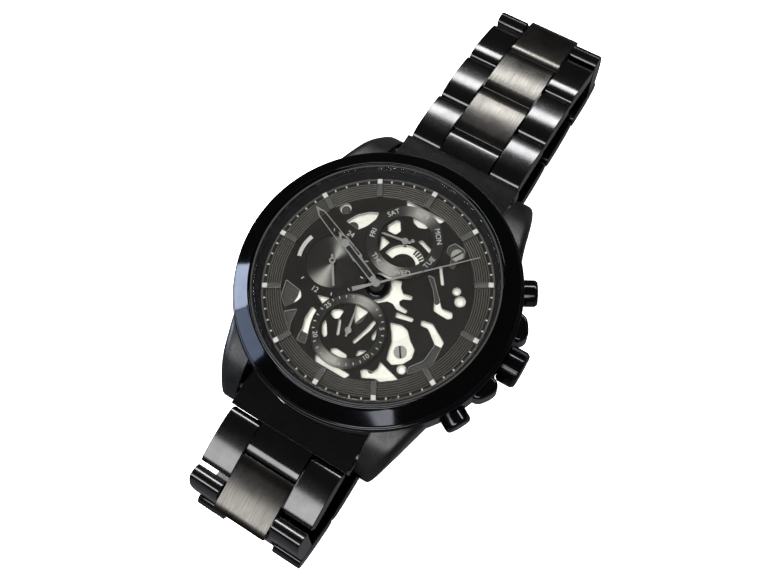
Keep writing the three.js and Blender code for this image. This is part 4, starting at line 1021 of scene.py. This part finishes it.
def slim_hand(name, node, joint, outline, hub_r, hole_r, z0, z1, look, post=None):
    blade = eased(slab(outline, z0, z1), 0.025, 2)
    hub = turned(softened([(0, z0), (hub_r, z0), (hub_r, z1 + 0.02), (0, z1 + 0.02)], [0, 0.03, 0.05, 0]), 48)
    solid = joined(blade, hub)
    if hole_r > 0:
        solid = cut(solid, disc(hole_r, z0 - 1, z1 + 1))
    if post:
        solid = joined(solid, disc(0.2, post, z0 + 0.02, segments=20))
    piece(name, solid, [look], node, [node], hand_place(node, joint))


def slim_outline(length, tail, root_half, tip_half, tail_half):
    return [(-tail_half, -tail), (tail_half, -tail), (root_half, -0.3), (root_half, 0.3), (tip_half, length),
            (-tip_half, length), (-root_half, 0.3), (-root_half, -0.3)]


def hands():
    sword_hand("hour_hand_fine", "hour_hand", "hour_hand_turn", 10.3, 4.7, 0.55, 0.8, 1.15, 0.82, 0.82, 0.97)
    sword_hand("minute_hand_fine", "minute_hand", "minute_hand_turn", 15.7, 7.7, 0.5, 0.75, 1.0, 0.56, 1.12, 1.27)
    slim_hand("seconds_hand_fine", "seconds_hand", "seconds_hand_turn", slim_outline(15.6, 3.6, 0.16, 0.07, 0.36),
              0.6, 0, 1.42, 1.54, HAND_SILVER)
    slim_hand("day_hand_fine", "day_hand", "day_hand_turn", slim_outline(3.8, 1.0, 0.22, 0.07, 0.14),
              0.5, 0, 0.42, 0.54, HAND_SILVER, -2.6)
    slim_hand("date_hand_fine", "date_hand", "date_hand_turn", slim_outline(3.8, 1.0, 0.2, 0.07, 0.14),
              0.5, 0, 0.42, 0.54, HAND_SILVER, -2.6)
    slim_hand("hand_24h_fine", "hand_24h", "hand_24h_turn", slim_outline(4.0, 1.0, 0.2, 0.16, 0.16),
              0.5, 0.22, 0.42, 0.54, HAND_SILVER)


# ---------- crown and pushers ----------
def crown():
    inner = low_mm("crown").x
    length = high_mm("crown").x - inner
    flutes = 54
    radius = high_mm("crown").y
    root = radius - 0.14
    outline = []
    for i in range(flutes):
        step = 360 / flutes
        for share, r in ((0.0, radius), (0.36, radius), (0.52, root), (0.84, root)):
            outline.append(polar(r, (i + share) * step))
    knurl = slab(outline, 0.3, length - 0.3)
    cap = turned(softened([(0, 0), (root - 0.25, 0), (root, 0.3), (root, length - 0.35),
                           (root - 0.2, length), (0, length)], [0, 0.1, 0.1, 0.1, 0.2, 0]), MEDIUM)
    ends = turned(softened([(0, 0.15), (radius - 0.3, 0.15), (radius + 0.02, 0.4), (radius + 0.02, length - 0.5),
                            (radius - 0.3, length - 0.15), (0, length - 0.15)], [0, 0.1, 0.1, 0.1, 0.2, 0]), MEDIUM)
    body = joined(combined(knurl, ends, "INTERSECT"), cap)
    ring_groove = turned([(root - 0.9, length - 0.12), (root - 0.6, length - 0.12), (root - 0.6, length + 1),
                          (root - 0.9, length + 1)], MEDIUM)
    body = cut(body, ring_groove, disc(0.52, -1, 1.2, segments=SMALL))
    body = moved(to_x_axis(body), x=inner)
    piece("crown_fine", body, [BLACK], "crown", ["crown"],
          HEAD @ Matrix.Translation((0, 0, STEM_Z)))


def pusher(name, node, angle):
    inner = PUSHER_SEAT_X + 1.2
    outer = inner + 2.4
    cap = turned(softened([(0, inner), (PUSHER_CAP_R - 0.08, inner), (PUSHER_CAP_R, inner + 0.1),
                           (PUSHER_CAP_R, outer - 0.4), (PUSHER_CAP_R - 0.3, outer - 0.05), (0, outer)],
                          [0, 0.05, 0.05, 0.2, 0.2, 0]), MEDIUM)
    neck = disc(0.8, 16.9, inner + 0.1, segments=SMALL)
    solid = to_x_axis(joined(cap, neck))
    place = HEAD @ Matrix.Translation((0, 0, PUSHER_Z)) @ Matrix.Rotation(math.radians(angle), 4, "Z")
    piece(name, solid, [BLACK], node, [node], place)


# ---------- bracelet ----------
STEPS = 5
ARCH = 0.2                                     # how far a centre link's top falls from its middle to its chamfers


def heel_arc(radius):
    angle = math.degrees(math.asin(LINK_HALF / radius))
    return arc((0, 0), radius, 180, 180 + angle, 6)


def outer_side(width_from, width_to):
    """An outer link: its top falls away in a wide curve at the near end and a smaller one at the far end,
    and it is rounded about its own pin underneath."""
    end = PITCH - HEEL - LINK_GAP
    top = smooth_curve([(end, 0.6), (end - 0.17, 0.95), (end - 0.57, 1.15), (5.4, 1.31), (4.1, 1.437),
                        (2.3, LINK_HALF), (0.5, 1.437), (-0.6, 1.25), (-1.5, 0.98), (-2.1, 0.55), (-HEEL, 0)], STEPS)
    outline = [tuple(point) for point in top] + heel_arc(HEEL)[1:] + [(end - 0.3, -LINK_HALF), (end, -LINK_HALF + 0.3)]
    return eased(to_x_axis(slab(outline, width_from, width_to)), 0.16, 3, 34)


def tongue_side(start, pin, half, chamfer=0.75, drop=0.38):
    """A centre link: flat on top with a wide chamfer at each end, rounded about the next pin underneath."""
    foot = math.degrees(math.asin(LINK_HALF / TOE))
    end = pin + TOE
    outline = [(start, -LINK_HALF)] + arc((pin, 0), TOE, -foot, 0, 8)
    middle = (start + end) / 2
    half_flat = end - chamfer - middle
    outline.append((end, LINK_HALF - ARCH - drop))
    for i in range(9):
        share = 1 - i / 4
        outline.append((middle + half_flat * share, LINK_HALF - ARCH * share * share))
    outline.append((start, LINK_HALF - ARCH - drop))
    solid = to_x_axis(slab(outline, -half, half, 1))
    return eased(solid, 0.1, 2, 24)


def link_row(name, node, place):
    low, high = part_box(node)
    half = (high.x - low.x) / 2 / MM
    right = outer_side(SLOT_HALF, half)
    tongue = tongue_side(TOE + LINK_GAP, PITCH, TONGUE_HALF)
    tongue = cut(tongue, rod_x(EYE_R, -6, 6, PITCH))
    bridge = block(-SLOT_HALF - 0.1, SLOT_HALF + 0.1, TOE + LINK_GAP + 0.3, 6.2, -LINK_HALF + 0.25, LINK_HALF - 0.5)
    solid = joined(together(right, mirrored(right)), tongue, bridge, rod_x(PIN_R, -SLOT_HALF - 0.1, SLOT_HALF + 0.1))
    return piece(name, solid, [BLACK_LINK, BRUSHED], node, [node], place)


def end_link(name, node, place):
    first_y = pivot_mm("link_12_1_hinge").y
    first_z = pivot_mm("link_12_1_hinge").z - DIAL_Z
    side = softened([(16, -5.6), (20, -6.5), (29, -6.5), (29, -3.55), (25.2, -3.55), (16, -2.9)], 0.8)
    body = to_x_axis(slab(side, -10.05, 10.05))
    body = combined(body, block(-11, 11, 0, first_y - HEEL - 0.08, -9, 2), "INTERSECT")
    body = cut(body, disc(CASE_R + 0.05, -12, 4, segments=FINE))
    body = eased(body, 0.14, 3, 40)
    tongue = moved(tongue_side(-4.0, 0, TONGUE_HALF), y=first_y, z=first_z)
    for face in tongue.faces:
        face.material_index = 0
    body = joined(body, tongue)
    body = cut(body, rod_x(EYE_R, -6, 6, first_y, first_z), rod_x(0.55, -12, 12, 22.3, -4.9))
    piece(name, body, [BLACK_LINK], "case", [node], place)


def bracelet():
    halves = {"12": (Vector((1, 0, 0)), 8, Matrix.Identity(4)), "6": (Vector((-1, 0, 0)), 4,
                                                                     Matrix.Rotation(math.pi, 4, "Z"))}
    for clock, (across, count, turn) in halves.items():
        end_link(f"end_link_{clock}_fine", f"end_link_{clock}", HEAD @ turn)
        pins = [pivot_mm(f"link_{clock}_{i}_hinge") for i in range(1, count + 1)]
        if clock == "6":
            pins.append(pivot_mm("clasp_base_hinge"))
        else:
            pins.append(pins[-1] * 2 - pins[-2])
        for i in range(count):
            along = (pins[i + 1] - pins[i]).normalized()
            outward = across.cross(along)
            place = Matrix((across, along, outward)).transposed().to_4x4()
            place.translation = pins[i]
            node = f"link_{clock}_{i + 1}"
            link_row(f"{node}_fine", node, place)


# ---------- folding clasp, in the row frame ----------
BLADE_HALF = 4.3
HINGE_PIN_R = 0.4


def box_solid(x, y, z, soft=0.2, material=0):
    return eased(block(*x, *y, *z, material), soft, 3)


def clasp_base():
    pin_y = pivot_mm("clasp_base_hinge").y
    hinge = pivot_mm("clasp_middle_swing")
    near = pin_y + TOE + LINK_GAP
    top = LAST_PIN_Z + LINK_HALF
    outline = softened([(-7.2, near), (7.2, near), (7.2, hinge.y - 1.4), (-7.2, hinge.y - 1.4)], 0.8)
    plate = eased(slab(outline, top - 0.6, top), 0.12, 2, 40)
    window = slab(softened([(-3.0, near + 9), (3.0, near + 9), (3.0, hinge.y - 9), (-3.0, hinge.y - 9)], 1.4), top - 2, top + 1)
    plate = cut(plate, window)
    ear = box_solid((SLOT_HALF, 7.2), (pin_y - 1.2, near + 1), (LAST_PIN_Z - 1.2, top))
    fork = box_solid((SLOT_HALF, 7.2), (hinge.y - 2.6, hinge.y + 1.1), (hinge.z - 1.0, top))
    forks = together(fork, mirrored(fork))
    forks = cut(forks, rod_x(HINGE_PIN_R + 0.08, -9, 9, hinge.y, hinge.z))
    solid = joined(plate, together(ear, mirrored(ear)), forks)
    solid = joined(solid, rod_x(PIN_R, -SLOT_HALF - 0.1, SLOT_HALF + 0.1, pin_y, LAST_PIN_Z))
    piece("clasp_base_fine", solid, [BRUSHED], "clasp_base", ["clasp_base"], Matrix.Identity(4))


def clasp_middle():
    base = pivot_mm("clasp_middle_swing")
    cover = pivot_mm("clasp_cover_swing")
    outline = softened([(-BLADE_HALF, cover.y), (BLADE_HALF, cover.y), (BLADE_HALF, base.y), (-BLADE_HALF, base.y)], 0.2)
    plate = eased(slab(outline, base.z - 0.35, base.z + 0.35), 0.1, 2, 40)
    window = slab(softened([(-2.2, cover.y + 6), (2.2, cover.y + 6), (2.2, base.y - 6), (-2.2, base.y - 6)], 1.2),
                  base.z - 2, base.z + 2)
    solid = cut(plate, window)
    for hinge in (base, cover):
        solid = joined(solid, rod_x(0.85, -BLADE_HALF, BLADE_HALF, hinge.y, hinge.z, chamfer=0.1),
                       rod_x(HINGE_PIN_R, -7.0, 7.0, hinge.y, hinge.z, chamfer=0.08))
    piece("clasp_middle_fine", solid, [BRUSHED], "clasp_middle", ["clasp_middle"],
          Matrix.Identity(4))


def clasp_cover():
    half = high_mm("clasp_cover").x
    low_y = low_mm("clasp_cover").y
    far = high_mm("clasp_cover").y
    hinge = pivot_mm("clasp_cover_swing")
    button_y = (low_mm("clasp_button_right").y + high_mm("clasp_button_right").y) / 2
    button_z = (low_mm("clasp_button_right").z + high_mm("clasp_button_right").z) / 2
    end_y = far - 2.0 - TOE - LINK_GAP
    plate = slab(softened([(-half, low_y), (half, low_y), (half, end_y), (-half, end_y)], 0.7), 0, 0.8)
    plate = eased(plate, 0.3, 4, 40)
    for face in plate.faces:
        face.normal_update()
        if face.normal.z < -0.9:
            face.material_index = 1
    skirt = box_solid((half - 1.0, half), (low_y + 0.3, end_y), (0.02, LAST_PIN_Z + 0.4), 0.25)
    ear = box_solid((SLOT_HALF + 0.1, half), (end_y - 1.2, far), (0.02, LAST_PIN_Z + 0.9), 0.3)
    hinge_block = box_solid((BLADE_HALF + 0.3, 7.0), (hinge.y - 1.0, hinge.y + 1.4), (0.02, hinge.z + 0.95), 0.15)
    side = joined(skirt, ear, hinge_block)
    side = cut(side, rod_x(HINGE_PIN_R + 0.08, -8, 8, hinge.y, hinge.z))
    side = cut(side, rod_x(0.82, 6, 12, button_y, button_z))
    solid = joined(plate, together(side, mirrored(side)))
    piece("clasp_cover_fine", solid, [BLACK_LINK, BRUSHED], "clasp_cover", ["clasp_cover"],
          Matrix.Identity(4))
    for name, turn in (("clasp_button_right", 0), ("clasp_button_left", 180)):
        button = joined(rod_x(0.7, half - 2.2, half + 0.9, chamfer=0.18), rod_x(0.95, half - 2.6, half - 2.1, chamfer=0.05))
        button = moved(button, turn=turn)
        piece(f"{name}_fine", button, [BLACK], name, [name],
              Matrix.Translation((0, button_y, button_z)))


# ---------- finishes of the CAD nodes that stay ----------
def dress_inner_nodes():
    finishes = {
        "main_plate": SILVER, "stator": NICKEL, "coil": COPPER, "train_bridge": SILVER, "circuit_board": BOARD,
        "battery": SILVER_EDGE, "movement_holder": PLASTIC, "spring_bar_12": SILVER_EDGE, "spring_bar_6": SILVER_EDGE,
        "crown_stem": SILVER_EDGE, "rotor": NICKEL, "cannon_pinion": BRASS, "minute_wheel": BRASS, "hour_wheel": BRASS,
        "wheel_24h": BRASS, "centre_wheel": BRASS, "third_wheel": BRASS, "seconds_wheel": BRASS, "step_wheel": BRASS,
    }
    for name, look in finishes.items():
        node = frame["nodes"][name]
        node.data.materials.clear()
        node.data.materials.append(look)


# ---------- stage, light and camera ----------
def floor():
    bm = bmesh.new()
    size = 3.0
    corners = [bm.verts.new(point) for point in ((-size, -size, 0), (size, -size, 0), (size, size, 0), (-size, size, 0))]
    bm.faces.new(corners)
    mesh = bpy.data.meshes.new("floor")
    bm.to_mesh(mesh)
    bm.free()
    thing = bpy.data.objects.new("floor", mesh)
    thing.location.z = -0.00005
    bpy.context.scene.collection.objects.link(thing)
    material = bpy.data.materials.new("floor_white")
    material.use_nodes = True
    nodes = material.node_tree.nodes
    links = material.node_tree.links
    shader = nodes["Principled BSDF"]
    shader.inputs["Base Color"].default_value = (0.86, 0.86, 0.86, 1)
    shader.inputs["Roughness"].default_value = 0.9
    glow = nodes.new("ShaderNodeEmission")
    glow.inputs["Color"].default_value = (1, 1, 1, 1)
    path = nodes.new("ShaderNodeLightPath")
    add = nodes.new("ShaderNodeAddShader")
    strength = nodes.new("ShaderNodeMath")
    strength.operation = "MULTIPLY"
    strength.inputs[1].default_value = 0.8
    links.new(path.outputs["Is Camera Ray"], strength.inputs[0])
    links.new(strength.outputs[0], glow.inputs["Strength"])
    links.new(shader.outputs[0], add.inputs[0])
    links.new(glow.outputs[0], add.inputs[1])
    dark = nodes.new("ShaderNodeBsdfDiffuse")
    dark.inputs["Color"].default_value = (0.04, 0.04, 0.045, 1)
    mix = nodes.new("ShaderNodeMixShader")
    links.new(path.outputs["Is Glossy Ray"], mix.inputs["Fac"])
    links.new(add.outputs[0], mix.inputs[1])
    links.new(dark.outputs[0], mix.inputs[2])
    links.new(mix.outputs[0], nodes["Material Output"].inputs["Surface"])
    mesh.materials.append(material)


def world():
    """Pale to the eye, dim in reflections, soft on matt surfaces."""
    scene_world = bpy.data.worlds.new("studio")
    bpy.context.scene.world = scene_world
    scene_world.use_nodes = True
    nodes = scene_world.node_tree.nodes
    links = scene_world.node_tree.links
    background = nodes["Background"]
    background.inputs["Color"].default_value = (1, 1, 1, 1)
    path = nodes.new("ShaderNodeLightPath")
    seen = nodes.new("ShaderNodeMix")
    seen.data_type = "FLOAT"
    seen.inputs["A"].default_value = 1.0
    seen.inputs["B"].default_value = 0.97
    links.new(path.outputs["Is Camera Ray"], seen.inputs["Factor"])
    mirrored_part = nodes.new("ShaderNodeMix")
    mirrored_part.data_type = "FLOAT"
    mirrored_part.inputs["B"].default_value = 0.035
    links.new(path.outputs["Is Glossy Ray"], mirrored_part.inputs["Factor"])
    links.new(seen.outputs["Result"], mirrored_part.inputs["A"])
    links.new(mirrored_part.outputs["Result"], background.inputs["Strength"])


def softbox(name, azimuth, elevation, distance, size, power, color=(1, 1, 1)):
    """A rectangular lamp that faces the watch. Azimuth 0 stands at 6 o'clock and 90 at 3 o'clock."""
    light = bpy.data.lights.new(name, "AREA")
    light.shape = "RECTANGLE"
    light.size, light.size_y = size
    light.energy = power
    light.color = color
    thing = bpy.data.objects.new(name, light)
    bpy.context.scene.collection.objects.link(thing)
    a, e = math.radians(azimuth), math.radians(elevation)
    back = Vector((math.sin(a) * math.cos(e), -math.cos(a) * math.cos(e), math.sin(e)))
    thing.location = back * distance + Vector((0, 0, DIAL_Z * MM))
    thing.rotation_mode = "QUATERNION"
    thing.rotation_quaternion = back.to_track_quat("Z", "Y")
    return thing


def lights():
    softbox("box_far", 190, 43, 0.6, (0.7, 0.08), 1.5)
    softbox("box_near", 0, 52, 0.6, (0.6, 0.24), 1.5)
    softbox("window_left", 284, 15, 0.55, (0.16, 0.2), 0.9, (0.75, 0.85, 1.0))
    softbox("window_low", 304, 22, 0.55, (0.2, 0.16), 0.25, (0.65, 0.78, 1.0))
    overhead = softbox("overhead", 20, 82, 0.6, (0.4, 0.4), 9.0, (1.0, 0.97, 0.92))
    overhead.visible_glossy = False


CAMERA_AZIMUTH = 43.52
CAMERA_ELEVATION = 71.38
CAMERA_ROLL = -12.82
CAMERA_DISTANCE = 125.09
CAMERA_AIM = Vector((2.794, 0.916, 0))
CAMERA_LENS = 39.97
CAMERA_SHIFT = (-0.0163, 0.0021)


def camera():
    data = bpy.data.cameras.new("camera")
    data.sensor_width = 36
    data.lens = CAMERA_LENS
    data.shift_x, data.shift_y = CAMERA_SHIFT
    data.clip_start = 0.005
    data.clip_end = 20
    thing = bpy.data.objects.new("camera", data)
    bpy.context.scene.collection.objects.link(thing)
    a, e = math.radians(CAMERA_AZIMUTH), math.radians(CAMERA_ELEVATION)
    back = Vector((math.sin(a) * math.cos(e), -math.cos(a) * math.cos(e), math.sin(e)))
    across = Vector((math.cos(a), math.sin(a), 0))
    turn = Matrix((across, back.cross(across), back)).transposed().to_4x4()
    turn = turn @ Matrix.Rotation(math.radians(CAMERA_ROLL), 4, "Z")
    aim = CAMERA_AIM + Vector((0, 0, DIAL_Z))
    thing.matrix_world = Matrix.Translation((aim + back * CAMERA_DISTANCE) * MM) @ turn
    bpy.context.scene.camera = thing


case_middle()
bezel()
crystal()
rehaut()
case_back()
dial_plate()
disc_24h()
open_bridge()
centre_boss()
dial_screw("dial_screw_upper_fine", "dial_screw_upper", 60)
dial_screw("dial_screw_lower_fine", "dial_screw_lower", -55)
hour_markers()
dial_print()
day_ring()
date_ring()
hands()
crown()
pusher("pusher_upper_fine", "pusher_upper", PUSHER_ANGLE)
pusher("pusher_lower_fine", "pusher_lower", -PUSHER_ANGLE)
bracelet()
clasp_base()
clasp_middle()
clasp_cover()
dress_inner_nodes()

floor()
world()
lights()
camera()
bpy.context.scene.view_settings.view_transform = "Standard"
